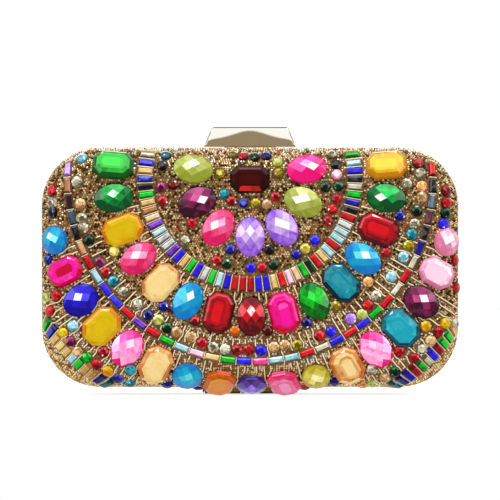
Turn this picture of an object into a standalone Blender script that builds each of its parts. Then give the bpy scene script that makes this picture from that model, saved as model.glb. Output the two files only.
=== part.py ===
# Jewelled box clutch: two hinged half shells, beaded outside, with rings of faceted jewels,
# baguette arcs and a sprung clasp bar. Metres, +X to the right, the front faces -Y, +Z up.
# Places are first worked out in bag coordinates: x across, y from the rim plane, z up from the
# body's lower edge. The empty bag_frame then stands the whole on z = 0, centred in depth.
import math

import bmesh
import bpy
from mathutils import Matrix, Vector

# Body
BODY_WIDTH = 0.200
BODY_HEIGHT = 0.115
HALF_DEPTH = 0.023
CORNER_RADIUS = 0.028
EDGE_RADIUS = 0.015
CORNER_STEPS = 6
EDGE_STEPS = 3

# Layers of each half, from outside in
GAP = 0.0003
PAVE_THICKNESS = 0.0012
SHELL_WALL = 0.0010
LINING_WALL = 0.0008

# Rim frame: a flange across all layers and a tongue inside the shell
FLANGE_DEPTH = 0.0030
TONGUE_WALL = 0.0010
TONGUE_SHARE = 0.5

# Slip pocket on the rear lining
POCKET_WIDTH = 0.100
POCKET_HEIGHT = 0.055
POCKET_WALL = 0.0008
POCKET_CORNER = 0.008

# Jewels: rings round a point near the top edge, in shares of the reach to the sides and to the bottom.
# A ring's end share says how far above that point its ends stand, of the way up to the top edge.
SUN_BELOW_TOP = 0.0152
SUN_DRIFT = 0.0013    # the widest rings' lowest point lies this far to the right
GIRDLE_RISE = 0.0012
CROWN_RISE = 0.0012
TABLE_RISE = 0.0008
CROWN_INSET_SHARE = 0.12
TABLE_INSET_SHARE = 0.14
OCTAGON_CUT_SHARE = 0.28
JEWEL_ROOT = 0.0048
ROOT_TAPER_SHARE = 0.6
JEWEL_SIDES = 10

CENTRE_LENGTH = 0.0184
CENTRE_WIDTH = 0.0126

INNER_RING_SHARE = 0.275
INNER_RING_END_SHARE = 0.32
INNER_JEWEL_SHARES = (1.14, 0.83)
INNER_JEWELS = 7

MIDDLE_RING_SHARE = 0.655
MIDDLE_RING_END_SHARE = 0.44
MIDDLE_JEWEL_SHARES = {"octagon": (1.24, 0.87), "oval": (1.19, 0.85)}
MIDDLE_RING = (
    ("octagon", "yellow"), ("oval", "emerald"), ("octagon", "red"), ("oval", "cyan"),
    ("octagon", "teal"), ("oval", "green"), ("octagon", "magenta"), ("oval", "red"),
    ("octagon", "red"), ("oval", "cyan"), ("octagon", "peach"), ("oval", "rose"),
    ("octagon", "amber"), ("oval", "emerald"), ("octagon", "green"),
)

OUTER_SIDE_SHARE = 0.970
OUTER_BOTTOM_SHARE = 0.984
OUTER_SWELL_SHARE = 0.026
OUTER_RING_DEGREES = (17.8, 162.7)
OUTER_RING_SHARES = (
    ("oval", 0.87, 0.87, "blush"), ("octagon", 1.09, 0.84, "blush"), ("oval", 1.15, 0.90, "plum"),
    ("octagon", 1.24, 0.96, "turquoise"), ("oval", 1.18, 0.92, "rose"), ("octagon", 1.18, 0.92, "peach"),
    ("oval", 0.87, 0.87, "lemon"), ("octagon", 1.18, 0.92, "rose"), ("oval", 1.18, 0.90, "plum"),
    ("octagon", 1.18, 0.92, "amber"), ("oval", 0.92, 0.92, "cyan"), ("octagon", 1.18, 0.92, "peach"),
    ("oval", 1.18, 0.92, "rose"), ("octagon", 1.24, 0.96, "amber"), ("oval", 1.12, 0.92, "royal"),
    ("octagon", 1.09, 0.81, "magenta"), ("oval", 0.87, 0.87, "cyan"),
)
REAR_JEWELS = range(7, 10)
REAR_RING_SHARE = 0.991

# Baguettes, set in bands that follow the surface
BAGUETTE_LENGTH = 0.0068
BAGUETTE_WIDTH = 0.0030
BAGUETTE_PITCH_SHARE = 0.8
TANGENT_PITCH_SHARE = 0.88
BAGUETTE_RISE = 0.0012
BAGUETTE_INSET = 0.0007
BAND_BORDER = 0.0005
BAND_RISE = 0.0004
BAND_CUT = 0.0030
BAND_STATION = 0.0078
CORNER_STATION = 0.0030
INNER_BAND_SHARE = 0.500
INNER_BAND_END_SHARE = 0.74
INNER_BAND_COUNT = 49
OUTER_BAND_SHARE = 0.870
OUTER_BAND_END_SHARE = 0.3
OUTER_BAND_COUNT = 38
CORNER_BAND_SHARE = 1.200
LEFT_BAND_DEGREES = (125.5, 144.5)
RIGHT_BAND_DEGREES = (37.0, 55.0)
CORNER_BAND_COUNT = 11

# Bottom hinge, below the body and hidden by the bottom jewels
HINGE_LENGTH = 0.044
BARREL_RADIUS = 0.0017
HINGE_PIN_RADIUS = 0.0007
PIN_HEAD_RADIUS = 0.0012
PIN_HEAD_LENGTH = 0.0006
LEAF_THICKNESS = 0.0008
LEAF_REACH = 0.0040
KNUCKLES = 5

# Clasp
CLASP_BASE_WIDTH = 0.0442
CLASP_TOP_WIDTH = 0.0362
CLASP_BASE_DEPTH = 0.0100
CLASP_TOP_DEPTH = 0.0060
CLASP_TOP = 0.0100
CLASP_FOOT = 0.0012
CLASP_CENTRE = 0.0012
CLASP_EDGE = 0.0005
HOLLOW_WIDTH = 0.0280
HOLLOW_DEPTH = 0.0064
HOLLOW_TOP = 0.0052
PIVOT_BACK = 0.0024
PIVOT_UP = 0.0030
CLASP_PIN_RADIUS = 0.0006
CLASP_PIN_LENGTH = 0.0410
EAR_MARGIN = 0.0015
EAR_THICKNESS = 0.0012
EAR_RADIUS = 0.0014
BASE_WIDTH = 0.0250
BASE_FRONT = 0.0006
BASE_BACK = 0.0036
BASE_THICKNESS = 0.0008
SCREW_MARGIN = 0.0055
SCREW_RADIUS = 0.0005
SCREW_LENGTH = 0.0030
SCREW_HEAD_RADIUS = 0.0010
SCREW_HEAD_HEIGHT = 0.0006
SPRING_WIRE_RADIUS = 0.00025
SPRING_PITCH = 0.0008
SPRING_TURNS = 4
SPRING_STEPS = 6
STRIKE_WIDTH = 0.0200
STRIKE_THICKNESS = 0.0006
STRIKE_FRONT = 0.0064
STRIKE_BACK = 0.0006

# How far every cutter runs past what it cuts, the step between faces of joined solids that would
# else lie in one plane, and the facets of a round rod
OVERRUN = 0.0010
FACE_STEP = 0.0001
MERGE_DISTANCE = 0.00001
ROUND_STEPS = 12
SHARP_DEGREES = 30

# Heights and depths that follow
STRAIGHT_WALL = HALF_DEPTH - EDGE_RADIUS
SHELL_SKIN = PAVE_THICKNESS + GAP
LINING_SKIN = SHELL_SKIN + SHELL_WALL + GAP
FRAME_INSET = LINING_SKIN + TONGUE_WALL
FLANGE_START = GAP / 2
FLANGE_END = FLANGE_START + FLANGE_DEPTH
WALL_START = FLANGE_END + GAP
TONGUE_END = FLANGE_END + TONGUE_SHARE * (STRAIGHT_WALL - FLANGE_END)
LINING_START = TONGUE_END + GAP
SUN_HEIGHT = BODY_HEIGHT - SUN_BELOW_TOP
HINGE_HEIGHT = -GAP - BARREL_RADIUS
PIVOT = Vector((0, PIVOT_BACK, BODY_HEIGHT + PIVOT_UP))

COLOURS = {
    "pave": (0.62, 0.45, 0.33), "gold": (0.83, 0.69, 0.42), "shell": (0.70, 0.55, 0.30),
    "lining": (0.06, 0.05, 0.06), "steel": (0.62, 0.62, 0.64), "baguette": (0.45, 0.50, 0.62),
    "garnet": (0.30, 0.02, 0.03), "rose": (0.86, 0.30, 0.45), "plum": (0.34, 0.10, 0.32),
    "yellow": (0.88, 0.76, 0.16), "emerald": (0.04, 0.42, 0.20), "red": (0.68, 0.03, 0.06),
    "cyan": (0.18, 0.62, 0.80),
    "teal": (0.03, 0.40, 0.42), "green": (0.20, 0.55, 0.20), "magenta": (0.76, 0.08, 0.36),
    "peach": (0.90, 0.55, 0.36), "amber": (0.86, 0.52, 0.08), "blush": (0.90, 0.66, 0.66),
    "turquoise": (0.10, 0.62, 0.60), "lemon": (0.90, 0.86, 0.50), "royal": (0.08, 0.16, 0.62),
}

for old in list(bpy.data.objects):
    bpy.data.objects.remove(old, do_unlink=True)

clutch = bpy.data.collections.new("jewelled_clutch")
cutters = bpy.data.collections.new("cutters")
bpy.context.scene.collection.children.link(clutch)
bpy.context.scene.collection.children.link(cutters)


def axis_empty(name, place, parent=None):
    empty = bpy.data.objects.new(name, None)
    clutch.objects.link(empty)
    empty.parent = parent
    empty.location = place
    return empty


bag_frame = axis_empty("bag_frame", Vector())
opening_axis = axis_empty("opening_axis", Vector((0, 0, HINGE_HEIGHT)), bag_frame)
clasp_axis = axis_empty("clasp_axis", PIVOT, bag_frame)


def material(colour):
    found = bpy.data.materials.get(colour)
    if found:
        return found
    made = bpy.data.materials.new(colour)
    made.use_nodes = True
    metal = colour in ("gold", "shell", "steel")
    shader = made.node_tree.nodes["Principled BSDF"]
    shader.inputs["Base Color"].default_value = (*COLOURS[colour], 1)
    shader.inputs["Metallic"].default_value = 1 if metal else 0
    shader.inputs["Roughness"].default_value = 0.8 if colour == "lining" else 0.2
    made.diffuse_color = (*COLOURS[colour], 1)
    return made


def piece(name, mesh, colour, parent, matrix=Matrix(), is_cutter=False):
    # matrix places the mesh in bag coordinates; the parent empty's own place is taken off
    part = bpy.data.objects.new(name, mesh)
    (cutters if is_cutter else clutch).objects.link(part)
    part.parent = parent
    away = parent.location if parent is not bag_frame else Vector()
    part.matrix_local = Matrix.Translation(-away) @ matrix
    if is_cutter:
        part.hide_render = True
        part.display_type = "WIRE"
    else:
        part.data.materials.append(material(colour))
    return part


def mesh_from(name, shape):
    bmesh.ops.recalc_face_normals(shape, faces=shape.faces)
    mesh = bpy.data.meshes.new(name)
    shape.to_mesh(mesh)
    shape.free()
    return mesh


def boolean(part, other, operation):
    modifier = part.modifiers.new(operation.lower(), "BOOLEAN")
    modifier.operation = operation
    modifier.object = other
    modifier.solver = "EXACT"


def smooth(part):
    part.data.shade_smooth()
    part.data.set_sharp_from_angle(angle=math.radians(SHARP_DEGREES))


# Rounded outline of the bag, moved inwards by inset
def outline(inset):
    radius = CORNER_RADIUS - inset
    points = []
    for corner, (across, up) in enumerate(((1, 1), (-1, 1), (-1, -1), (1, -1))):
        centre_x = across * (BODY_WIDTH / 2 - CORNER_RADIUS)
        centre_z = BODY_HEIGHT / 2 + up * (BODY_HEIGHT / 2 - CORNER_RADIUS)
        for step in range(CORNER_STEPS + 1):
            turn = math.pi / 2 * (corner + step / CORNER_STEPS)
            points.append((centre_x + radius * math.cos(turn), centre_z + radius * math.sin(turn)))
    return points


# Loft of outlines along a profile of (inset, depth); side is -1 for the front half, 1 for the rear
def loft(name, profile, side, closed=False):
    shape = bmesh.new()
    rings = [
        [shape.verts.new((x, side * depth, z)) for x, z in outline(inset)]
        for inset, depth in profile
    ]
    pairs = list(zip(rings, rings[1:]))
    if closed:
        pairs.append((rings[-1], rings[0]))
    else:
        shape.faces.new(rings[0])
        shape.faces.new(rings[-1])
    for first, second in pairs:
        for index in range(len(first)):
            after = (index + 1) % len(first)
            shape.faces.new((first[index], first[after], second[after], second[index]))
    return mesh_from(name, shape)


# The rounded side of a half shell that lies skin below the beads' outer face
def rounded_side(skin, start):
    radius = EDGE_RADIUS - skin
    profile = [(skin, start)]
    for step in range(EDGE_STEPS + 1):
        turn = math.pi / 2 * step / EDGE_STEPS
        profile.append((EDGE_RADIUS - radius * math.cos(turn), STRAIGHT_WALL + radius * math.sin(turn)))
    return profile


def dish(name, skin, wall, start, side, colour, parent):
    profile = rounded_side(skin, start)[::-1] + rounded_side(skin + wall, start)
    made = piece(name, loft(name, profile, side), colour, parent)
    smooth(made)
    return made


def solid_form(name, skin, side, parent):
    return piece(name, loft(name, rounded_side(skin, 0), side), None, parent, is_cutter=True)


def rim_frame(name, side, parent):
    profile = [
        (0, FLANGE_START), (0, FLANGE_END), (LINING_SKIN, FLANGE_END),
        (LINING_SKIN, TONGUE_END), (FRAME_INSET, TONGUE_END), (FRAME_INSET, FLANGE_START),
    ]
    made = piece(name, loft(name, profile, side, closed=True), "gold", parent)
    smooth(made)
    return made


# Point and normal on the outer face of the front bead layer, below the place (x, z)
def surface(x, z):
    up = z - BODY_HEIGHT / 2
    past_x = abs(x) - (BODY_WIDTH / 2 - CORNER_RADIUS)
    past_z = abs(up) - (BODY_HEIGHT / 2 - CORNER_RADIUS)
    if past_x > 0 and past_z > 0:
        distance = math.hypot(past_x, past_z)
        away = Vector((math.copysign(past_x, x), 0, math.copysign(past_z, up))) / distance
        margin = CORNER_RADIUS - distance
    elif past_x > past_z:
        away = Vector((math.copysign(1, x), 0, 0))
        margin = CORNER_RADIUS - past_x
    else:
        away = Vector((0, 0, math.copysign(1, up)))
        margin = CORNER_RADIUS - past_z
    tilt = math.asin(min(max(1 - margin / EDGE_RADIUS, 0), 1))
    depth = STRAIGHT_WALL + EDGE_RADIUS * math.cos(tilt)
    normal = away * math.sin(tilt) + Vector((0, -math.cos(tilt), 0))
    return Vector((x, -depth, z)) + away * min(margin, 0), normal


def sun_point(share, degrees):
    turn = math.radians(degrees)
    drift = SUN_DRIFT * min(share, 1) ** 2 * math.sin(turn)
    return share * BODY_WIDTH / 2 * math.cos(turn) + drift, SUN_HEIGHT * (1 - share * math.sin(turn))


# Frame of a jewel: x outwards from the rings' centre along the surface, z off the surface
def seat(x, z, along=None):
    point, normal = surface(x, z)
    along = along or Vector((x, 0, z - SUN_HEIGHT))
    outwards = (along - normal * along.dot(normal)).normalized()
    turned = Matrix((outwards, normal.cross(outwards), normal)).transposed()
    return Matrix.Translation(point) @ turned.to_4x4()


# A ring's first and last angle: its ends stand end_share of the way up to the top edge
def ring_ends(share, end_share):
    rise = math.degrees(math.asin(end_share * SUN_BELOW_TOP / (share * SUN_HEIGHT)))
    return -rise, 180 + rise


def ring_angle(degrees, index, count):
    return degrees[0] + (degrees[1] - degrees[0]) * index / (count - 1)


def ring_pitch(share, degrees, count):
    reach = share * min(BODY_WIDTH / 2, SUN_HEIGHT)
    return reach * math.radians(degrees[1] - degrees[0]) / (count - 1)


# A jewel stands on the surface; its root runs down inside the bead layer
def jewel_mesh(kind, length, width, root=JEWEL_ROOT):
    shape = bmesh.new()
    height = root + GIRDLE_RISE
    if kind == "octagon":
        bmesh.ops.create_cube(shape, size=1)
    else:
        bmesh.ops.create_cone(
            shape, cap_ends=True, segments=JEWEL_SIDES, radius1=0.5, radius2=0.5, depth=1
        )
    bmesh.ops.scale(shape, vec=(length, width, height), verts=shape.verts)
    bmesh.ops.translate(shape, vec=(0, 0, height / 2 - root), verts=shape.verts)
    if kind == "octagon":
        uprights = [edge for edge in shape.edges if abs(edge.verts[0].co.z - edge.verts[1].co.z) > root]
        bmesh.ops.bevel(
            shape, geom=uprights, offset=OCTAGON_CUT_SHARE * width, segments=1,
            affect="EDGES", profile=0.5, material=-1, clamp_overlap=False,
        )
    back = [vert for vert in shape.verts if vert.co.z < 0]
    bmesh.ops.scale(shape, vec=(ROOT_TAPER_SHARE, ROOT_TAPER_SHARE, 1), verts=back)
    shape.normal_update()
    table = max(shape.faces, key=lambda face: face.normal.z)
    for inset_share, rise in ((CROWN_INSET_SHARE, CROWN_RISE), (TABLE_INSET_SHARE, TABLE_RISE)):
        bmesh.ops.inset_individual(
            shape, faces=[table], thickness=inset_share * width, use_even_offset=True
        )
        bmesh.ops.translate(shape, vec=(0, 0, rise), verts=table.verts)
    return mesh_from("jewel", shape)


def pocket_mesh(kind, length, width):
    wide = 2 * GAP
    shape = bmesh.new()
    shape.from_mesh(jewel_mesh(kind, length + wide, width + wide, JEWEL_ROOT + OVERRUN))
    return mesh_from("pocket", shape)


# One mesh of several separate ones, each placed by its matrix
def gathered(name, placed):
    shape = bmesh.new()
    for mesh, matrix in placed:
        mesh.transform(matrix)
        shape.from_mesh(mesh)
        bpy.data.meshes.remove(mesh)
    return mesh_from(name, shape)


# Band that holds baguettes: a strip along an arc of the rings, following the surface
def band_mesh(name, share, degrees, half, low, high, extra):
    middle = share * (BODY_WIDTH / 2 + SUN_HEIGHT) / 2
    grown = math.degrees(extra / middle)
    ends = (degrees[0] - grown, degrees[1] + grown)
    station = CORNER_STATION if share > 1 else BAND_STATION
    stations = math.ceil(middle * math.radians(degrees[1] - degrees[0]) / station) + 1
    shape = bmesh.new()
    sections = []
    for index in range(stations):
        frame = seat(*sun_point(share, ring_angle(ends, index, stations)))
        corners = ((-half, 0, low), (half, 0, low), (half, 0, high), (-half, 0, high))
        sections.append([shape.verts.new(frame @ Vector(corner)) for corner in corners])
    shape.faces.new(sections[0])
    shape.faces.new(sections[-1])
    for first, second in zip(sections, sections[1:]):
        for index in range(4):
            after = (index + 1) % 4
            shape.faces.new((first[index], first[after], second[after], second[index]))
    return mesh_from(name, shape)


def baguette_mesh(across, along):
    shape = bmesh.new()
    foot = -PAVE_THICKNESS / 2
    brim = BAND_RISE + GAP
    bmesh.ops.create_cube(shape, size=1)
    bmesh.ops.scale(shape, vec=(across, along, brim - foot), verts=shape.verts)
    bmesh.ops.translate(shape, vec=(0, 0, (brim + foot) / 2), verts=shape.verts)
    shape.normal_update()
    table = max(shape.faces, key=lambda face: face.normal.z)
    bmesh.ops.inset_individual(shape, faces=[table], thickness=BAGUETTE_INSET, use_even_offset=True)
    bmesh.ops.translate(shape, vec=(0, 0, BAGUETTE_RISE - brim), verts=table.verts)
    return mesh_from("baguette", shape)


def baguette_band(name, share, degrees, count, radial):
    pitch = ring_pitch(share, degrees, count)
    across, along = BAGUETTE_LENGTH, BAGUETTE_PITCH_SHARE * pitch
    if not radial:
        across, along = BAGUETTE_WIDTH, TANGENT_PITCH_SHARE * pitch
    half = across / 2 + BAND_BORDER
    end = along / 2 + BAND_BORDER
    mesh = band_mesh(name, share, degrees, half, -PAVE_THICKNESS - OVERRUN, BAND_RISE, end)
    band = piece(name, mesh, "baguette", opening_axis)
    stones = gathered(name + "_stones", [
        (baguette_mesh(across, along), seat(*sun_point(share, ring_angle(degrees, index, count))))
        for index in range(count)
    ])
    boolean(band, piece(name + "_stones", stones, None, opening_axis, is_cutter=True), "UNION")
    boolean(band, front_seat, "DIFFERENCE")
    return band_mesh(name + "_groove", share, degrees, half + GAP, -BAND_CUT, BAND_CUT, end + GAP)


# Bead layers, shells, linings and rim frames of both halves
halves = (("front", -1, opening_axis), ("rear", 1, bag_frame))
made = {}
for word, side, parent in halves:
    made[word] = dish(word + "_pave", 0, PAVE_THICKNESS, WALL_START, side, "pave", parent)
    dish(word + "_shell", SHELL_SKIN, SHELL_WALL, WALL_START, side, "shell", parent)
    dish(word + "_lining", LINING_SKIN, LINING_WALL, LINING_START, side, "lining", parent)
    made[word + "_frame"] = rim_frame(word + "_frame", side, parent)

pocket_back = HALF_DEPTH - LINING_SKIN - LINING_WALL - GAP
shape = bmesh.new()
bmesh.ops.create_cube(shape, size=1)
bmesh.ops.scale(shape, vec=(POCKET_WIDTH, POCKET_WALL, POCKET_HEIGHT), verts=shape.verts)
lower_edges = [
    edge for edge in shape.edges
    if abs(edge.verts[0].co.y - edge.verts[1].co.y) > 0 and edge.verts[0].co.z < 0
]
bmesh.ops.bevel(
    shape, geom=lower_edges, offset=POCKET_CORNER, segments=CORNER_STEPS // 2,
    affect="EDGES", profile=0.5, material=-1,
)
pocket_place = Matrix.Translation((0, pocket_back - POCKET_WALL / 2, BODY_HEIGHT / 2))
piece("slip_pocket", mesh_from("slip_pocket", shape), "lining", bag_frame, pocket_place)

# Jewels that stand alone; each is cut to the bead layer's inner face
front_seat = solid_form("front_seat", PAVE_THICKNESS, -1, opening_axis)
front_bond = solid_form("front_bond", PAVE_THICKNESS / 2, -1, opening_axis)
rear_bond = solid_form("rear_bond", PAVE_THICKNESS / 2, 1, bag_frame)
pockets = []


def add_jewel(name, kind, length, width, colour, matrix):
    jewel = piece(name, jewel_mesh(kind, length, width), colour, opening_axis, matrix)
    boolean(jewel, front_seat, "DIFFERENCE")
    pockets.append((pocket_mesh(kind, length, width), matrix))


centre_seat = seat(0, SUN_HEIGHT, Vector((1, 0, 0)))
add_jewel("centre_jewel", "octagon", CENTRE_LENGTH, CENTRE_WIDTH, "garnet", centre_seat)

ends = ring_ends(MIDDLE_RING_SHARE, MIDDLE_RING_END_SHARE)
pitch = ring_pitch(MIDDLE_RING_SHARE, ends, len(MIDDLE_RING))
for index, (kind, colour) in enumerate(MIDDLE_RING):
    degrees = ring_angle(ends, index, len(MIDDLE_RING))
    length_share, width_share = MIDDLE_JEWEL_SHARES[kind]
    add_jewel(
        f"middle_jewel_{index + 1:02d}", kind, length_share * pitch, width_share * pitch, colour,
        seat(*sun_point(MIDDLE_RING_SHARE, degrees)),
    )

rear_jewels = []
pitch = ring_pitch(OUTER_BOTTOM_SHARE, OUTER_RING_DEGREES, len(OUTER_RING_SHARES))
for index, (kind, length_share, width_share, colour) in enumerate(OUTER_RING_SHARES):
    degrees = ring_angle(OUTER_RING_DEGREES, index, len(OUTER_RING_SHARES))
    down = math.sin(math.radians(degrees)) ** 2
    share = OUTER_SIDE_SHARE + (OUTER_BOTTOM_SHARE - OUTER_SIDE_SHARE) * down
    share += OUTER_SWELL_SHARE * math.sin(math.radians(2 * degrees)) ** 2
    matrix = seat(*sun_point(share, degrees))
    length, width = length_share * pitch, width_share * pitch
    add_jewel(f"outer_jewel_{index + 1:02d}", kind, length, width, colour, matrix)
    if index in REAR_JEWELS:
        flip = Matrix.Scale(-1, 4, (0, 1, 0))
        rear_seat = flip @ seat(*sun_point(REAR_RING_SHARE, degrees)) @ flip
        rear_jewels.append((jewel_mesh(kind, length, width), rear_seat))

# Inner ring of ovals and the rear bottom jewels, which are one with their bead layers
inner_jewels = []
ends = ring_ends(INNER_RING_SHARE, INNER_RING_END_SHARE)
pitch = ring_pitch(INNER_RING_SHARE, ends, INNER_JEWELS)
for index in range(INNER_JEWELS):
    matrix = seat(*sun_point(INNER_RING_SHARE, ring_angle(ends, index, INNER_JEWELS)))
    length_share, width_share = INNER_JEWEL_SHARES
    inner_jewels.append((jewel_mesh("oval", length_share * pitch, width_share * pitch), matrix))
for word, jewels, bond, parent in (
    ("front", inner_jewels, front_bond, opening_axis), ("rear", rear_jewels, rear_bond, bag_frame),
):
    group = piece(word + "_fixed_jewels", gathered("fixed_jewels", jewels), None, parent, is_cutter=True)
    boolean(group, bond, "DIFFERENCE")
    boolean(made[word], group, "UNION")

# Baguette bands and the openings in the front bead layer
inner_ends = ring_ends(INNER_BAND_SHARE, INNER_BAND_END_SHARE)
outer_ends = ring_ends(OUTER_BAND_SHARE, OUTER_BAND_END_SHARE)
bands = (
    ("inner_baguette_band", INNER_BAND_SHARE, inner_ends, INNER_BAND_COUNT, True),
    ("outer_baguette_band", OUTER_BAND_SHARE, outer_ends, OUTER_BAND_COUNT, False),
    ("left_corner_band", CORNER_BAND_SHARE, LEFT_BAND_DEGREES, CORNER_BAND_COUNT, True),
    ("right_corner_band", CORNER_BAND_SHARE, RIGHT_BAND_DEGREES, CORNER_BAND_COUNT, True),
)
grooves = [(baguette_band(*band), Matrix()) for band in bands]
for word, openings in (("jewel_openings", pockets), ("band_openings", grooves)):
    cutter = piece(word, gathered(word, openings), None, opening_axis, is_cutter=True)
    boolean(made["front"], cutter, "DIFFERENCE")


# Turned piece about X, from a profile of (radius, x) that runs from its right end to its left
def turned(name, profile, colour, parent, centre, axis="X"):
    mesh = bpy.data.meshes.new(name)
    points = [(radius, 0, along) for radius, along in profile]
    mesh.from_pydata(points, [(i, i + 1) for i in range(len(points) - 1)], [])
    quarter = Matrix.Rotation(math.pi / 2, 4, "Y") if axis == "X" else Matrix()
    made_piece = piece(name, mesh, colour, parent, Matrix.Translation(centre) @ quarter)
    screw = made_piece.modifiers.new("turn", "SCREW")
    screw.steps = ROUND_STEPS
    screw.render_steps = ROUND_STEPS
    screw.use_merge_vertices = True
    screw.merge_threshold = MERGE_DISTANCE
    screw.use_smooth_shade = True
    return made_piece


def rod_profile(radius, length, head_radius=0, head_length=0):
    half = length / 2
    profile = [(0, half), (radius, half), (radius, -half), (0, -half)]
    if head_radius:
        end = half + head_length
        profile = [
            (0, end), (head_radius, end), (head_radius, half), (radius, half),
            (radius, -half), (head_radius, -half), (head_radius, -end), (0, -end),
        ]
    return profile


def box(low, high, parent, name, colour=None):
    shape = bmesh.new()
    bmesh.ops.create_cube(shape, size=1)
    low, high = Vector(low), Vector(high)
    bmesh.ops.scale(shape, vec=high - low, verts=shape.verts)
    matrix = Matrix.Translation((low + high) / 2)
    return piece(name, mesh_from(name, shape), colour, parent, matrix, is_cutter=colour is None)


def cylinder(radius, length, centre, parent, name):
    shape = bmesh.new()
    bmesh.ops.create_cone(
        shape, cap_ends=True, segments=ROUND_STEPS, radius1=radius, radius2=radius, depth=length
    )
    matrix = Matrix.Translation(centre) @ Matrix.Rotation(math.pi / 2, 4, "Y")
    return piece(name, mesh_from(name, shape), None, parent, matrix, is_cutter=True)


# Bottom hinge
knuckle_pitch = HINGE_LENGTH / KNUCKLES
leaf_top = HINGE_HEIGHT + BARREL_RADIUS - FACE_STEP
leaf_start = BARREL_RADIUS + GAP
hinge_bore = HINGE_PIN_RADIUS + GAP
for word, side, parent in halves:
    near, far = sorted((side * leaf_start, side * LEAF_REACH))
    name = f"hinge_{word}_leaf"
    leaf = box(
        (-HINGE_LENGTH / 2, near, leaf_top - LEAF_THICKNESS), (HINGE_LENGTH / 2, far, leaf_top),
        parent, name, "gold",
    )
    for knuckle in range(0 if side > 0 else 1, KNUCKLES, 2):
        middle = (knuckle + 0.5) * knuckle_pitch - HINGE_LENGTH / 2
        half = (knuckle_pitch - GAP) / 2
        barrel = cylinder(
            BARREL_RADIUS, 2 * half, (middle, 0, HINGE_HEIGHT), parent, f"{name}_barrel_{knuckle}"
        )
        inner, outer = sorted((0, side * (leaf_start + LEAF_THICKNESS)))
        web = box(
            (middle - half + FACE_STEP, inner, leaf_top - LEAF_THICKNESS + FACE_STEP / 2),
            (middle + half - FACE_STEP, outer, leaf_top - FACE_STEP / 2), parent, f"{name}_web_{knuckle}",
        )
        boolean(leaf, web, "UNION")
        boolean(leaf, barrel, "UNION")
    bore = cylinder(
        hinge_bore, HINGE_LENGTH + 2 * OVERRUN, (0, 0, HINGE_HEIGHT), parent, name + "_bore"
    )
    boolean(leaf, bore, "DIFFERENCE")
pin_length = HINGE_LENGTH + 2 * GAP
turned(
    "hinge_pin", rod_profile(HINGE_PIN_RADIUS, pin_length, PIN_HEAD_RADIUS, PIN_HEAD_LENGTH),
    "steel", bag_frame, (0, 0, HINGE_HEIGHT),
)

# Clasp bar: a tapered block, hollow below, bored for its pin
clasp_height = CLASP_TOP - CLASP_FOOT
shape = bmesh.new()
bmesh.ops.create_cube(shape, size=1)
bmesh.ops.scale(shape, vec=(CLASP_BASE_WIDTH, CLASP_BASE_DEPTH, clasp_height), verts=shape.verts)
upper = [vert for vert in shape.verts if vert.co.z > 0]
taper = (CLASP_TOP_WIDTH / CLASP_BASE_WIDTH, CLASP_TOP_DEPTH / CLASP_BASE_DEPTH, 1)
bmesh.ops.scale(shape, vec=taper, verts=upper)
bmesh.ops.bevel(
    shape, geom=shape.edges[:], offset=CLASP_EDGE, segments=2, affect="EDGES", profile=0.5, material=-1
)
clasp_middle = (0, CLASP_CENTRE, BODY_HEIGHT + CLASP_FOOT + clasp_height / 2)
clasp_bar = piece(
    "clasp_bar", mesh_from("clasp_bar", shape), "gold", clasp_axis, Matrix.Translation(clasp_middle)
)
hollow = box(
    (-HOLLOW_WIDTH / 2, CLASP_CENTRE - HOLLOW_DEPTH / 2, BODY_HEIGHT),
    (HOLLOW_WIDTH / 2, CLASP_CENTRE + HOLLOW_DEPTH / 2, BODY_HEIGHT + HOLLOW_TOP),
    clasp_axis, "clasp_hollow",
)
boolean(clasp_bar, hollow, "DIFFERENCE")
pin_bore = cylinder(CLASP_PIN_RADIUS + GAP, CLASP_BASE_WIDTH + 2 * OVERRUN, PIVOT, clasp_axis, "clasp_bore")
boolean(clasp_bar, pin_bore, "DIFFERENCE")
turned("clasp_pin", rod_profile(CLASP_PIN_RADIUS, CLASP_PIN_LENGTH), "steel", bag_frame, PIVOT)

# Lock base: a plate on the rear half's top with two ears for the clasp pin
base_low = BODY_HEIGHT + GAP
base_top = base_low + BASE_THICKNESS
lock_base = box(
    (-BASE_WIDTH / 2, BASE_FRONT, base_low), (BASE_WIDTH / 2, BASE_BACK, base_top),
    bag_frame, "lock_base", "gold",
)
for word, across in (("left", -1), ("right", 1)):
    ear_x = across * (BASE_WIDTH / 2 - EAR_MARGIN)
    post = box(
        (ear_x - EAR_THICKNESS / 2, BASE_FRONT + GAP, base_low + BASE_THICKNESS / 2),
        (ear_x + EAR_THICKNESS / 2, BASE_BACK - GAP, PIVOT.z), bag_frame, f"ear_{word}_post",
    )
    eye = cylinder(
        EAR_RADIUS, EAR_THICKNESS + FACE_STEP, (ear_x, PIVOT.y, PIVOT.z), bag_frame, f"ear_{word}_eye"
    )
    boolean(lock_base, post, "UNION")
    boolean(lock_base, eye, "UNION")
ear_bore = cylinder(CLASP_PIN_RADIUS + GAP, BASE_WIDTH + 2 * OVERRUN, PIVOT, bag_frame, "ear_bore")
boolean(lock_base, ear_bore, "DIFFERENCE")

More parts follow.
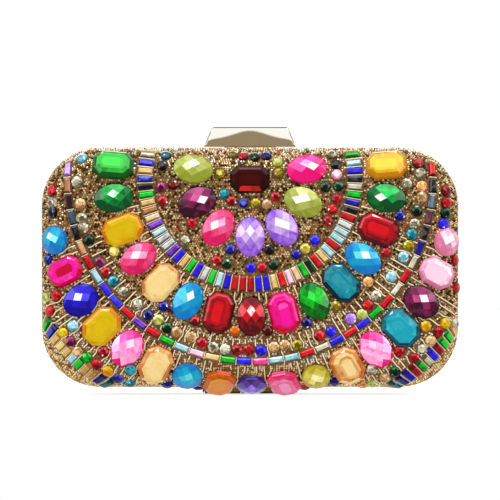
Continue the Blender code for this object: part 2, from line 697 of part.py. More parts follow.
# Two screws hold the lock base to the rear frame's flange
screw_y = (FLANGE_START + FLANGE_END) / 2
for word, across in (("left", -1), ("right", 1)):
    screw_x = across * (BASE_WIDTH / 2 - SCREW_MARGIN)
    shape = bmesh.new()
    bmesh.ops.create_cone(
        shape, cap_ends=True, segments=ROUND_STEPS, radius1=SCREW_RADIUS + GAP, radius2=SCREW_RADIUS + GAP,
        depth=2 * SCREW_LENGTH,
    )
    hole_place = Matrix.Translation((screw_x, screw_y, base_top + GAP))
    hole = piece(f"screw_{word}_hole", mesh_from("hole", shape), None, bag_frame, hole_place, is_cutter=True)
    boolean(lock_base, hole, "DIFFERENCE")
    boolean(made["rear_frame"], hole, "DIFFERENCE")
    head_low = base_top + GAP
    profile = [
        (0, SCREW_HEAD_HEIGHT), (SCREW_HEAD_RADIUS, SCREW_HEAD_HEIGHT), (SCREW_HEAD_RADIUS, 0),
        (SCREW_RADIUS, 0), (SCREW_RADIUS, -SCREW_LENGTH), (0, -SCREW_LENGTH),
    ]
    turned(f"lock_screw_{word}", profile, "steel", bag_frame, (screw_x, screw_y, head_low), axis="Z")

# Torsion spring round the clasp pin, one leg on the base and one under the bar's roof
coil_radius = CLASP_PIN_RADIUS + GAP + SPRING_WIRE_RADIUS
spring_half = SPRING_PITCH * (SPRING_TURNS + 0.5) / 2
steps = int((SPRING_TURNS + 0.5) * SPRING_STEPS)
route = [Vector((-spring_half, coil_radius, base_top + GAP + SPRING_WIRE_RADIUS - PIVOT.z))]
for index in range(steps + 1):
    turn = 2 * math.pi * index / SPRING_STEPS
    along = 2 * spring_half * index / steps - spring_half
    route.append(Vector((along, coil_radius * math.cos(turn), coil_radius * math.sin(turn))))
leg_top = BODY_HEIGHT + HOLLOW_TOP - GAP - SPRING_WIRE_RADIUS - PIVOT.z
route.append(Vector((spring_half, -coil_radius, leg_top)))
curve = bpy.data.curves.new("clasp_spring", "CURVE")
curve.dimensions = "3D"
curve.bevel_depth = SPRING_WIRE_RADIUS
curve.bevel_resolution = 1
curve.use_fill_caps = True
spline = curve.splines.new("POLY")
spline.points.add(len(route) - 1)
for point, place in zip(spline.points, route):
    point.co = (*place, 1)
piece("clasp_spring", curve, "steel", bag_frame, Matrix.Translation(PIVOT))

# Strike plate on the front half's top, under the clasp bar's nose
box(
    (-STRIKE_WIDTH / 2, -STRIKE_FRONT, base_low),
    (STRIKE_WIDTH / 2, -STRIKE_BACK, base_low + STRIKE_THICKNESS),
    opening_axis, "strike_plate", "gold",
)

# Stand the bag on its lowest jewels and centre it in depth
bpy.context.view_layer.update()
graph = bpy.context.evaluated_depsgraph_get()
reached = []
for part in clutch.objects:
    if part.type == "MESH":
        seen = part.evaluated_get(graph)
        reached += [seen.matrix_world @ vert.co for vert in seen.data.vertices]
lowest = min(place.z for place in reached)
depths = [place.y for place in reached]
bag_frame.location = (0, -(min(depths) + max(depths)) / 2, -lowest)
bpy.context.view_layer.update()
print("base lift", bag_frame.location.z, "depth shift", bag_frame.location.y)
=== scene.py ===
import math
import random

import bmesh
import bpy
from mathutils import Matrix, Vector
from mathutils.kdtree import KDTree


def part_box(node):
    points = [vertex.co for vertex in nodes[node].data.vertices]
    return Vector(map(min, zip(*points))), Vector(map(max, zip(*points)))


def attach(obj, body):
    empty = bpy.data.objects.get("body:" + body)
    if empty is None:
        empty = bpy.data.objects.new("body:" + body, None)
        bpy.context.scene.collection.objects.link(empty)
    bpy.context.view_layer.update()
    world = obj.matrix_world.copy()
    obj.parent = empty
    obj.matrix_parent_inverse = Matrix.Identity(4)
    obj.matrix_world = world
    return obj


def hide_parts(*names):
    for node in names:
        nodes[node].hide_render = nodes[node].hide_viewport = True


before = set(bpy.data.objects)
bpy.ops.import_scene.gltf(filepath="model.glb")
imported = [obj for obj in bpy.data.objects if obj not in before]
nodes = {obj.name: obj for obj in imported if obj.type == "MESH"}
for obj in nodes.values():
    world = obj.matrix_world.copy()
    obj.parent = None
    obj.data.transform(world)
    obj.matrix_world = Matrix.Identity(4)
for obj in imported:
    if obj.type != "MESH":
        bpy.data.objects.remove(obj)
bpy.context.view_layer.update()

luck = random.Random(11)
mm = 0.001

frontRim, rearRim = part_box("front_frame"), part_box("rear_frame")
bag = {
    "halfWidth": frontRim[1].x,
    "bottom": frontRim[0].z,
    "top": frontRim[1].z,
    "rimPlane": (frontRim[1].y + rearRim[0].y) / 2,
    "halfDepth": 23 * mm,
    "cornerRadius": 28 * mm,
    "edgeRadius": 15 * mm,
    "beadStart": 3.8 * mm,     # how far from the rim plane the bead layer starts
    "sunBelowTop": 15.2 * mm,  # the rings run round a point this far below the top
    "sunDrift": 1.3 * mm,      # and the lowest point of the widest is this far to the right
}
middleHeight = (bag["top"] + bag["bottom"]) / 2
halfHeight = (bag["top"] - bag["bottom"]) / 2
straightWall = bag["halfDepth"] - bag["edgeRadius"]
sunHeight = bag["top"] - bag["sunBelowTop"]
sunReach = sunHeight - bag["bottom"]


# Point and normal of the bead layer's outer face at (x, z); side is -1 in front and 1 behind
def onSurface(x, z, side=-1):
    up = z - middleHeight
    pastX = abs(x) - (bag["halfWidth"] - bag["cornerRadius"])
    pastZ = abs(up) - (halfHeight - bag["cornerRadius"])
    if pastX > 0 and pastZ > 0:
        distance = math.hypot(pastX, pastZ)
        away = Vector((math.copysign(pastX, x), 0, math.copysign(pastZ, up))) / distance
        margin = bag["cornerRadius"] - distance
    elif pastX > pastZ:
        away = Vector((math.copysign(1, x), 0, 0))
        margin = bag["cornerRadius"] - pastX
    else:
        away = Vector((0, 0, math.copysign(1, up)))
        margin = bag["cornerRadius"] - pastZ
    tilt = math.asin(min(max(1 - margin / bag["edgeRadius"], 0), 1))
    depth = straightWall + bag["edgeRadius"] * math.cos(tilt)
    normal = away * math.sin(tilt) + Vector((0, side * math.cos(tilt), 0))
    return Vector((x, bag["rimPlane"] + side * depth, z)) + away * min(margin, 0), normal


def facing(point, normal, along):
    outwards = (along - normal * along.dot(normal)).normalized()
    turned = Matrix((outwards, normal.cross(outwards), normal)).transposed()
    return Matrix.Translation(point) @ turned.to_4x4()


# Frame of a stone: x away from the rings' centre along the surface, z off the surface
def seat(x, z, along=None, side=-1):
    point, normal = onSurface(x, z, side)
    return facing(point, normal, along or Vector((x, 0, z - sunHeight)))


def ringPlace(share, degrees):
    turn = math.radians(degrees)
    drift = bag["sunDrift"] * min(share, 1) ** 2 * math.sin(turn)
    x = share * bag["halfWidth"] * math.cos(turn) + drift
    return x, sunHeight - share * sunReach * math.sin(turn)


def ringEnds(share, endShare):
    rise = math.degrees(math.asin(endShare * bag["sunBelowTop"] / (share * sunReach)))
    return -rise, 180 + rise


def ringAngle(ends, index, count):
    return ends[0] + (ends[1] - ends[0]) * index / (count - 1)


# Every entry of a ring with its number and its seat
def ringSeats(share, ends, entries):
    for index, entry in enumerate(entries):
        yield index, entry, seat(*ringPlace(share, ringAngle(ends, index, len(entries))))


def ringPitch(share, ends, count):
    return share * min(bag["halfWidth"], sunReach) * math.radians(ends[1] - ends[0]) / (count - 1)


# Materials from here on
def linear(red, green, blue):
    return tuple(
        c / 12.92 if c <= 0.04045 else ((c + 0.055) / 1.055) ** 2.4
        for c in (red / 255, green / 255, blue / 255)
    ) + (1,)


# Each input is a plain value, or the output socket that feeds it
def connect(tree, target, inputs):
    for key, value in dict(inputs).items():
        if isinstance(value, bpy.types.NodeSocket):
            tree.links.new(value, target.inputs[key])
        else:
            target.inputs[key].default_value = value


def node(tree, kind, inputs=(), **settings):
    made = tree.nodes.new(kind)
    made.location = (200 * len(tree.nodes) - 2400, 160 * (len(tree.nodes) % 3))
    for key, value in settings.items():
        setattr(made, key, value)
    connect(tree, made, inputs)
    return made


def objectPlace(tree):
    return node(tree, "ShaderNodeTexCoord").outputs["Object"]


def attribute(tree, name):
    return node(tree, "ShaderNodeAttribute", attribute_name=name).outputs["Fac"]


def noise(tree, place, scale, detail):
    return node(tree, "ShaderNodeTexNoise", {"Vector": place, "Scale": scale, "Detail": detail}).outputs[0]


def maths(tree, operation, *values):
    return node(tree, "ShaderNodeMath", enumerate(values), operation=operation).outputs[0]


def remap(tree, value, fromMin=0.0, fromMax=1.0, toMin=0.0, toMax=1.0):
    spans = {"From Min": fromMin, "From Max": fromMax, "To Min": toMin, "To Max": toMax}
    return node(tree, "ShaderNodeMapRange", {"Value": value, **spans}).outputs[0]


def blend(tree, factor, first, second):
    return node(tree, "ShaderNodeMix", {0: factor, 6: first, 7: second}, data_type="RGBA").outputs[2]


def bump(tree, height, distance, strength):
    values = {"Height": height, "Distance": distance, "Strength": strength}
    return node(tree, "ShaderNodeBump", values).outputs[0]


def newGroup(name, inputs, outputs):
    group = bpy.data.node_groups.new(name, "ShaderNodeTree")
    for title, kind, value in inputs:
        socket = group.interface.new_socket(title, in_out="INPUT", socket_type="NodeSocket" + kind)
        socket.default_value = value
    for title, kind in outputs:
        group.interface.new_socket(title, in_out="OUTPUT", socket_type="NodeSocket" + kind)
    return group, node(group, "NodeGroupInput").outputs


def newMaterial(name, metallic=0.0, roughness=0.3, **shaderInputs):
    made = bpy.data.materials.new(name)
    made.use_nodes = True
    tree = made.node_tree
    shader = tree.nodes["Principled BSDF"]
    connect(tree, shader, {"Metallic": metallic, "Roughness": roughness})
    connect(tree, shader, {key.replace("_", " "): value for key, value in shaderInputs.items()})
    return made, tree, shader


# Painted light and shade of a cut stone: deep, body and pale tones, and painted white above that where
# a facet catches the light. The cells and the noise are painted reflections of the back facets that show
# through
def makeFacetTones():
    group, given = newGroup(
        "facetTones",
        (("Tone", "Float", 0.5), ("Deep", "Color", (0, 0, 0, 1)), ("Body", "Color", (0.5, 0.5, 0.5, 1)),
         ("Pale", "Color", (1, 1, 1, 1)), ("Back Reflection", "Float", 0.45), ("Scale", "Float", 330.0)),
        (("Colour", "Color"), ("Roughness", "Float")),
    )
    place = objectPlace(group)
    backReflections = noise(group, place, given["Scale"], 2.0)
    cells = node(group, "ShaderNodeTexVoronoi", {"Vector": place, "Scale": given["Scale"]},
                 distance="MANHATTAN").outputs["Color"]
    play = maths(group, "SUBTRACT", maths(group, "ADD", backReflections, cells), 1.0)
    tone = maths(group, "MULTIPLY_ADD", play, given["Back Reflection"], given["Tone"])
    dark = blend(group, remap(group, tone, 0.0, 0.5), given["Deep"], given["Body"])
    light = blend(group, remap(group, tone, 0.5, 1.0), dark, given["Pale"])
    white = blend(group, remap(group, tone, 1.15, 1.35), light, (0.95, 0.95, 0.95, 1))
    smear = remap(group, backReflections, toMin=0.06, toMax=0.2)
    node(group, "NodeGroupOutput", {"Colour": white, "Roughness": smear})
    return group


# Fine rubbing on metal: brushed lines and soft smudges
def makeMetalWear():
    group, given = newGroup(
        "metalWear",
        (("Bright", "Color", (1, 1, 1, 1)), ("Dull", "Color", (0.5, 0.5, 0.5, 1)),
         ("Scale", "Float", 90.0), ("Smooth", "Float", 0.15), ("Worn", "Float", 0.4),
         ("Depth", "Float", 0.05)),
        (("Colour", "Color"), ("Roughness", "Float"), ("Normal", "Vector")),
    )
    place = objectPlace(group)
    smudge = noise(group, place, given["Scale"], 4.0)
    drawn = node(group, "ShaderNodeMapping", {"Vector": place, "Scale": (1.0, 12.0, 12.0)}).outputs[0]
    lines = noise(group, drawn, 240.0, 3.0)
    node(group, "NodeGroupOutput", {
        "Colour": blend(group, smudge, given["Bright"], given["Dull"]),
        "Roughness": remap(group, smudge, toMin=given["Smooth"], toMax=given["Worn"]),
        "Normal": bump(group, lines, 0.1 * mm, given["Depth"]),
    })
    return group


facetTones = makeFacetTones()
metalWear = makeMetalWear()


# Without a back reflection value of its own the material takes it from each facet
def toneMaterial(name, tones, backReflection=None, metallic=0.15, **shaderInputs):
    made, tree, shader = newMaterial(name, metallic=metallic, **shaderInputs)
    colours = {key: linear(*tone) for key, tone in zip(("Deep", "Body", "Pale"), tones)}
    if backReflection is None:
        backReflection = attribute(tree, "backReflection")
    paint = node(tree, "ShaderNodeGroup", {"Tone": attribute(tree, "tone"), "Back Reflection": backReflection, **colours},
                 node_tree=facetTones).outputs
    connect(tree, shader, {"Base Color": paint["Colour"], "Roughness": paint["Roughness"]})
    return made


def metalMaterial(name, bright, dull, smooth, worn, depth, scale=90.0, metallic=1.0):
    made, tree, shader = newMaterial(name, metallic=metallic)
    values = {"Bright": linear(*bright), "Dull": linear(*dull), "Smooth": smooth, "Worn": worn,
              "Depth": depth, "Scale": scale}
    wear = node(tree, "ShaderNodeGroup", values, node_tree=metalWear).outputs
    connect(tree, shader, {"Base Color": wear["Colour"], "Roughness": wear["Roughness"],
                           "Normal": wear["Normal"]})
    return made


# Deep, body and pale tone of every stone colour; the facets are painted between them for light and shade
stoneColours = {
    "garnet": ((22, 0, 2), (84, 4, 8), (226, 46, 30)),
    "rose": ((226, 12, 112), (250, 92, 190), (255, 216, 240)),
    "pink": ((216, 22, 92), (238, 104, 158), (255, 196, 236)),
    "lime": ((140, 150, 44), (204, 210, 122), (252, 254, 226)),
    "lilac": ((138, 78, 214), (208, 176, 232), (248, 236, 255)),
    "plum": ((52, 12, 36), (164, 40, 108), (216, 100, 160)),
    "yellow": ((192, 124, 0), (210, 188, 8), (240, 224, 70)),
    "olive": ((92, 76, 0), (200, 178, 26), (240, 230, 120)),
    "emerald": ((4, 72, 36), (8, 160, 64), (40, 232, 100)),
    "red": ((80, 10, 20), (206, 12, 30), (250, 46, 44)),
    "cyan": ((12, 118, 196), (6, 176, 202), (112, 226, 236)),
    "teal": ((2, 36, 52), (10, 132, 152), (110, 214, 220)),
    "green": ((4, 84, 24), (10, 194, 38), (60, 236, 84)),
    "magenta": ((190, 6, 50), (246, 16, 160), (255, 150, 220)),
    "peach": ((196, 98, 28), (236, 204, 132), (255, 238, 196)),
    "amber": ((206, 104, 4), (208, 172, 8), (240, 212, 48)),
    "blush": ((216, 116, 156), (250, 208, 230), (255, 242, 250)),
    "turquoise": ((4, 56, 70), (18, 158, 178), (120, 222, 226)),
    "lemon": ((170, 150, 24), (232, 220, 100), (254, 250, 196)),
    "royal": ((18, 6, 140), (38, 20, 236), (84, 80, 255)),
    "violet": ((42, 6, 96), (98, 34, 190), (176, 120, 246)),
    "orange": ((184, 68, 0), (214, 114, 2), (232, 170, 36)),
    "navy": ((4, 2, 60), (22, 20, 160), (130, 142, 244)),
    "forest": ((0, 8, 4), (0, 50, 26), (70, 186, 126)),
    "clear": ((92, 78, 56), (206, 200, 172), (255, 255, 252)),
    "champagne": ((150, 104, 58), (220, 182, 132), (255, 238, 210)),
    "silver": ((110, 110, 116), (204, 208, 212), (255, 255, 255)),
    "sky": ((80, 146, 168), (158, 212, 222), (240, 252, 255)),
    "coal": ((0, 0, 2), (14, 10, 14), (110, 112, 124)),
    "gilt": ((158, 112, 48), (226, 192, 120), (255, 236, 186)),
    "slate": ((20, 30, 42), (70, 94, 116), (186, 212, 222)),
    "wine": ((18, 2, 8), (56, 18, 34), (150, 92, 108)),
    "tan": ((100, 54, 26), (184, 122, 78), (240, 200, 158)),
}
stonePaint = {
    name: toneMaterial(name + "Stone", tones, Coat_Weight=0.2, Coat_Roughness=0.02, Specular_IOR_Level=0.3)
    for name, tones in stoneColours.items()
}

# Bright and dull colour, least and most roughness, and depth of the brushed lines. Where they
# aren't the usual ones, the scale of the smudges and how metallic it is come after that
metals = {
    "satinGold": ((236, 206, 146), (196, 154, 92), 0.2, 0.42, 0.2),
    "wireGold": ((255, 242, 212), (246, 220, 172), 0.35, 0.5, 0.1, 90.0, 0.4),
    "polishedGold": ((255, 252, 244), (252, 247, 234), 0.02, 0.06, 0.02, 40.0),
    "plainSteel": ((190, 190, 194), (132, 132, 138), 0.25, 0.5, 0.3),
    "pressedBrass": ((206, 170, 100), (140, 104, 52), 0.35, 0.6, 0.4),
}
goldPaint, wirePaint, claspPaint, steelPaint, shellPaint = [
    metalMaterial(name, *looks) for name, looks in metals.items()
]

# The beads drift between rose gold and olive gold from patch to patch
beadLook = {
    "tones": ((56, 32, 6), (182, 134, 72), (255, 232, 180)),
    "rose": (198, 126, 78),
    "olive": (166, 144, 74),
    "patches": (260.0, 3.0),    # scale and detail
    "change": (0.42, 0.58),     # the narrower, the harder the edges of the patches
}
beadPaint = toneMaterial("roseGoldBead", beadLook["tones"], backReflection=0.25, metallic=0.45,
                         Specular_IOR_Level=0.1)
tree = beadPaint.node_tree
patches = remap(tree, noise(tree, objectPlace(tree), *beadLook["patches"]), *beadLook["change"])
hues = blend(tree, patches, linear(*beadLook["rose"]), linear(*beadLook["olive"]))
connect(tree, tree.nodes["Group"], {"Body": hues})

# Dark glue between the beads
glueLook = {"dark": (52, 36, 18), "light": (140, 106, 62), "grain": 900.0, "relief": (0.4 * mm, 0.6)}
gluePaint, tree, shader = newMaterial("brownGlue", roughness=0.6)
grain = node(tree, "ShaderNodeTexVoronoi",
             {"Vector": objectPlace(tree), "Scale": glueLook["grain"]}).outputs["Distance"]
brown = blend(tree, grain, linear(*glueLook["dark"]), linear(*glueLook["light"]))
connect(tree, shader, {"Base Color": brown, "Normal": bump(tree, grain, *glueLook["relief"])})

# Black ribbed lining cloth
clothLook = {
    "dark": (14, 11, 13),
    "light": (58, 50, 54),
    "threads": ((260.0, 0.4, "Z"), (420.0, 0.6, "X")),      # scale, waviness and direction
    "relief": (0.3 * mm, 0.5),
}
clothPaint, tree, shader = newMaterial("grosgrain", roughness=0.85, Sheen_Weight=0.3)
place = objectPlace(tree)
threads = [
    node(tree, "ShaderNodeTexWave", {"Vector": place, "Scale": scale, "Distortion": bend},
         bands_direction=direction).outputs["Fac"]
    for scale, bend, direction in clothLook["threads"]
]
weave = maths(tree, "MULTIPLY", *threads)
black = blend(tree, weave, linear(*clothLook["dark"]), linear(*clothLook["light"]))
connect(tree, shader, {"Base Color": black, "Normal": bump(tree, weave, *clothLook["relief"])})
print("materials ready")

# Solids that keep their own mesh
for paint, names in (
    (gluePaint, "front_pave rear_pave"),
    (shellPaint, "front_shell rear_shell"),
    (goldPaint, "front_frame rear_frame hinge_front_leaf hinge_rear_leaf lock_base strike_plate"),
    (clothPaint, "front_lining rear_lining slip_pocket"),
    (steelPaint, "hinge_pin lock_screw_left lock_screw_right clasp_pin clasp_spring"),
):
    for name in names.split():
        nodes[name].data.materials.clear()
        nodes[name].data.materials.append(paint)


# Pieces from here on. A bmesh is used up when it becomes a mesh
def asMesh(shape, name):
    mesh = bpy.data.meshes.new(name)
    shape.to_mesh(mesh)
    shape.free()
    return mesh


def addPiece(name, mesh, paints, body, replaced=None):
    if isinstance(mesh, bmesh.types.BMesh):
        mesh = asMesh(mesh, name)
    made = bpy.data.objects.new(name, mesh)
    bpy.context.scene.collection.objects.link(made)
    for paint in paints:
        mesh.materials.append(paint)
    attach(made, body)
    if replaced:
        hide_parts(replaced)
    return made


# The final mesh of a helper object, which goes again
def finalMesh(carrier):
    bpy.context.scene.collection.objects.link(carrier)
    seen = carrier.evaluated_get(bpy.context.evaluated_depsgraph_get())
    mesh = bpy.data.meshes.new_from_object(seen)
    bpy.data.objects.remove(carrier)
    return mesh


# What already covers the surface, so that beads and wires keep off it. A stone's lifted edge on
# the rounded rim doesn't cover what lies deeper under it than that
covered = []
coverReach = {"across": 14 * mm, "under": 8 * mm, "over": 8 * mm}


def cover(kind, matrix, length, width):
    covered.append((kind, matrix.translation.copy(), matrix.inverted(), length / 2, width / 2))


def stray(most):
    return luck.uniform(-most, most)


def fit(shape, size, place):
    bmesh.ops.scale(shape, vec=size, verts=shape.verts)
    bmesh.ops.translate(shape, vec=place, verts=shape.verts)
    return shape


# A block or a round one about the z axis, up to its top and down to its root
def block(across, along, top, root, isRound=False):
    shape = bmesh.new()
    if isRound:
        bmesh.ops.create_cone(shape, cap_ends=True, segments=24, radius1=0.5, radius2=0.5, depth=1)
    else:
        bmesh.ops.create_cube(shape, size=1)
    return fit(shape, (across, along, top + root), (0, 0, (top - root) / 2))


def bevelEdges(shape, edges, width, segments=1):
    bmesh.ops.bevel(shape, geom=edges, offset=width, segments=segments, affect="EDGES",
                    profile=0.5, material=-1)


def edgesAlong(shape, axis):
    return [e for e in shape.edges if abs(e.verts[0].co[axis] - e.verts[1].co[axis]) > mm / 4]


# The edges round the end of a shape that lies on one side of the origin
def edgesAtEnd(shape, axis, side=1):
    return [e for e in shape.edges if all(v.co[axis] * side > 0 for v in e.verts)]


# The face that looks up the most, and its rim set in and lifted
def tableOf(shape):
    shape.normal_update()
    return max(shape.faces, key=lambda face: face.normal.z)


def stepTable(shape, table, width, rise):
    rim = bmesh.ops.inset_individual(shape, faces=[table], thickness=width, use_even_offset=True)
    bmesh.ops.translate(shape, vec=(0, 0, rise), verts=table.verts)
    return rim["faces"]


# Tone and back reflection values of the facets, which carry their painted light and shade, and how the shape
# is turned
def toneLayers(shape, matrix):
    shape.normal_update()
    new = shape.faces.layers.float.new
    return new("tone"), new("backReflection"), matrix.to_3x3()


stone = {
    "girdle": 1.3 * mm,
    "cutShare": 0.28,       # corner cut of an octagon, of its width
    "octagonSteps": ((0.06, 0.9 * mm), (0.07, 0.6 * mm), (0.11, 0.15 * mm), (0.09, 0.0)),
    "tableShift": 0.06,     # how far a table may sit off the middle, of the width
    "splitShare": 0.5,      # how often a back facet shows across the table, at each end
    "splitPlace": (0.1, 0.26),      # of the length
    "splitLean": 0.2,
    "domeRise": 2.3 * mm,
    "gridSteps": range(-4, 5),
    "gridShare": 0.44,      # side of a diamond facet, of the half width
    "gridReach": 0.9,
    "ringPoints": 16,
    "bezelWidth": 0.2 * mm,
    "bezelHeight": 0.5 * mm,
    "root": 0.6 * mm,
}


# Octagon cut in steps round a large table
def octagonShape(length, width):
    shape = block(length, width, stone["girdle"], stone["root"])
    bevelEdges(shape, edgesAlong(shape, 2), stone["cutShare"] * width)
    steps = shape.faces.layers.int.new("step")
    table = tableOf(shape)
    for count, (share, rise) in enumerate(stone["octagonSteps"], 1):
        for face in stepTable(shape, table, share * width, rise):
            face[steps] = count
        table[steps] = count + 1
        if count == 3:
            shift = [stray(stone["tableShift"]) * width for _ in range(2)]
            bmesh.ops.translate(shape, vec=(*shift, 0), verts=table.verts)
    for side in (-1, 1):
        if luck.random() < stone["splitShare"]:
            place = (side * luck.uniform(*stone["splitPlace"]) * length, 0, 0)
            tables = [face for face in shape.faces if face[steps] == count + 1]
            parts = [part for face in tables for part in (face, *face.edges, *face.verts)]
            bmesh.ops.bisect_plane(shape, geom=list(dict.fromkeys(parts)), plane_co=place,
                                   plane_no=(1, stray(stone["splitLean"]), 0))
    return shape


# Oval or round with diamond facets: flat squares of a grid laid on a dome
def ovalShape(length, width):
    shape = bmesh.new()
    diagonal = stone["gridShare"] / math.sqrt(2)
    for i in stone["gridSteps"]:
        for j in stone["gridSteps"]:
            across, along = (i + j) * diagonal, (i - j) * diagonal
            away = math.hypot(across, along)
            if away < stone["gridReach"]:
                shape.verts.new((across, along, 1 - away * away))
    for low in (-1, 0):
        ring = bmesh.ops.create_circle(shape, segments=stone["ringPoints"], radius=1)
        bmesh.ops.translate(shape, vec=(0, 0, low), verts=ring["verts"])
    bmesh.ops.convex_hull(shape, input=shape.verts)
    bmesh.ops.dissolve_limit(shape, angle_limit=0.01, verts=shape.verts, edges=shape.edges)
    bmesh.ops.delete(shape, geom=[v for v in shape.verts if not v.link_faces], context="VERTS")
    dome = [v for v in shape.verts if v.co.z > -0.5]
    root = [v for v in shape.verts if v.co.z < -0.5]
    bmesh.ops.scale(shape, vec=(length / 2, width / 2, stone["domeRise"]), verts=dome)
    bmesh.ops.translate(shape, vec=(0, 0, stone["girdle"]), verts=dome)
    bmesh.ops.scale(shape, vec=(length / 2, width / 2, stone["root"]), verts=root)
    return shape


def bezelShape(kind, length, width):
    wide = 2 * stone["bezelWidth"]
    shape = block(length + wide, width + wide, stone["bezelHeight"], stone["root"], kind == "oval")
    if kind == "octagon":
        bevelEdges(shape, edgesAlong(shape, 2), stone["cutShare"] * width + wide / 4)
    bevelEdges(shape, edgesAtEnd(shape, 2), stone["bezelWidth"] / 2)
    return shape


# What a facet's painted light and shade is made of: 0 is deep, 0.5 the body colour, 1 pale, and above 1.15 a
# painted white glint
facetTone = {
    "wild": 0.16,           # the most that one facet strays
    "upCut": 0.48,          # stones that look up are lit more, so their tones are lower by this
    "downLift": 0.12,
    "reflecting": 0.3,          # how strongly the painted reflections of the back facets show, and where the stone is clearer
    "clear": 0.1,
    # Tone of a facet with a painted white glint, and how far the choice of that facet strays
    "flash": (1.25, 1.5),
    "flashStray": 0.15,
}
octagonTone = {
    "plainShare": 0.7,      # how many have a plain rim round the table
    "fire": (0.6, 1.2),     # contrast of the painted light and shade on the inner steps of the others
    "plainFire": 0.12,
    "outer": (0.03, 0.06, 0.12),    # girdle and the two outer steps
    "inner": (0.5, 0.3),    # inner steps of plain and of other stones
    "table": 0.54,
    "lean": 0.26,           # painted light: how much the steps that look up are paler
    "third": 0.3,
    "fourth": (0.06, 0.12),
    "drift": 0.7,           # along the table
    "split": 0.3,
    "openBelow": ("peach", "amber"),    # their table seems to reach the lower edge
    "openTone": 0.46,
    "openUnder": -0.6,
    "lowRims": {2: 0.9, 3: 0.8},        # lowest facets of a dimmed stone's steps
    "flashShare": 0.75,     # how many have one facet with a painted white glint
}
ovalTone = {
    "edge": (0.3, 0.04),    # what looks aside more than this has this tone
    "base": 0.02,
    "lean": 0.1,
    "within": 0.84,         # from here outwards, of the half width, the facets are deep
    "middle": 0.52,
    "rise": 0.5,
    "flat": (0.7, 0.05, 0.75),      # tone of the painted pale reflection on some ovals' broad table, and where it ends
    "flashShare": 0.95,
    "flashUp": 0.6,
    "flashWithin": 0.62,
}


# Lighter tones for what is turned down and deeper ones for what is turned up to the lamps
def evenOut(turn):
    up = (turn @ Vector((0, 0, 1))).z
    return -facetTone["upCut" if up > 0 else "downLift"] * up


# Tone of an octagon's facet, from its step, its lean and its height and place across on the stone: painted
# light and shade
def octagonFacet(step, base, lean, height, across, wild, fire, well, openBelow):
    if step in (1, 2):
        if openBelow and height < octagonTone["openUnder"]:
            return octagonTone["openTone"] + wild / 2, True
        return base + octagonTone["lean"] * lean + wild / 2, False
    if step == 3:
        return base + octagonTone["third"] * fire * height, False
    if step == 4:
        low, rise = octagonTone["fourth"]
        return base - fire * (low + rise * height), False
    split = luck.choice((-octagonTone["split"], octagonTone["split"]))
    return base + well + octagonTone["drift"] * across * (wild + split), False


# Tone of an oval's facet: deep at the edge, paler towards the middle and higher up on the stone, as painted
# light; some get a broad painted pale reflection on the table
def ovalFacet(lean, height, away, wild, flat):
    within = 1 - min(away / ovalTone["within"], 1)
    pale, rim, top = ovalTone["flat"]
    if flat and within > rim and height < top:
        return pale + wild / 2
    rise = ovalTone["middle"] + ovalTone["rise"] * height
    return ovalTone["base"] + ovalTone["lean"] * lean + min(2 * within, 1) * rise + 2 * wild * within


# Painted light and shade of each facet once the stone is in place: upper facets are painted as if they catch
# the light, and one gets a painted white flash
def toneFacets(shape, kind, matrix, dim=0, well=0, flat=False, openBelow=False):
    tones, backReflections, turn = toneLayers(shape, matrix)
    steps = shape.faces.layers.int.get("step")
    reach = sum(max(v.co[axis] for v in shape.verts) for axis in (0, 1)) / 2
    fiery = luck.random() > octagonTone["plainShare"]
    fire = luck.uniform(*octagonTone["fire"]) if fiery else octagonTone["plainFire"]
    inner = octagonTone["inner"][fiery] - dim
    bases = (*octagonTone["outer"], inner, inner, octagonTone["table"] - dim)
    lowered = evenOut(turn)
    for face in shape.faces:
        lean = (turn @ face.normal).z
        middle = face.calc_center_median()
        away = middle.xy.length
        wild = stray(facetTone["wild"])
        height = (turn @ Vector((middle.x, middle.y, 0))).z / max(away, mm)
        if kind == "octagon":
            step = face[steps]
            tone, isOpen = octagonFacet(step, bases[step], lean, height, middle.x / reach, wild, fire,
                                        well, openBelow)
            face[backReflections] = facetTone["reflecting" if step < 4 else "clear"]
            face[tones] = tone + (0 if isOpen else lowered)
        elif face.normal.z < ovalTone["edge"][0]:
            face[tones] = ovalTone["edge"][1] + lowered
        else:
            face[backReflections] = facetTone["reflecting"]
            face[tones] = ovalFacet(lean, height, away / reach, wild, flat) + lowered
    if dim:
        for level, tone in octagonTone["lowRims"].items():
            ring = [face for face in shape.faces if face[steps] == level]
            min(ring, key=lambda face: (turn @ face.calc_center_median()).z)[tones] = tone
    if kind == "octagon":
        crown = [face for face in shape.faces if face[steps] == 2]
        chance = 0 if dim else octagonTone["flashShare"]
    else:
        limit = ovalTone["flashWithin"] * reach
        crown = [face for face in shape.faces
                 if face.normal.z > ovalTone["flashUp"] and face.calc_center_median().xy.length < limit]
        chance = 0 if flat else ovalTone["flashShare"]
    flashing = max(crown, key=lambda face: (turn @ face.normal).z + stray(facetTone["flashStray"]))
    if luck.random() < chance and (turn @ flashing.normal).z > 0:
        if kind == "octagon":
            split = bmesh.ops.poke(shape, faces=[flashing])["faces"]
            flashing = max(split, key=lambda face: (turn @ face.calc_center_median()).z)
        flashing[tones] = luck.uniform(*facetTone["flash"])


# Adds one shape to another, in place, with a material number
def put(target, shape, matrix, number=0):
    for face in shape.faces:
        face.material_index = number
    shape.transform(matrix)
    bmesh.ops.recalc_face_normals(shape, faces=shape.faces)
    mesh = asMesh(shape, "part")
    target.from_mesh(mesh)
    bpy.data.meshes.remove(mesh)


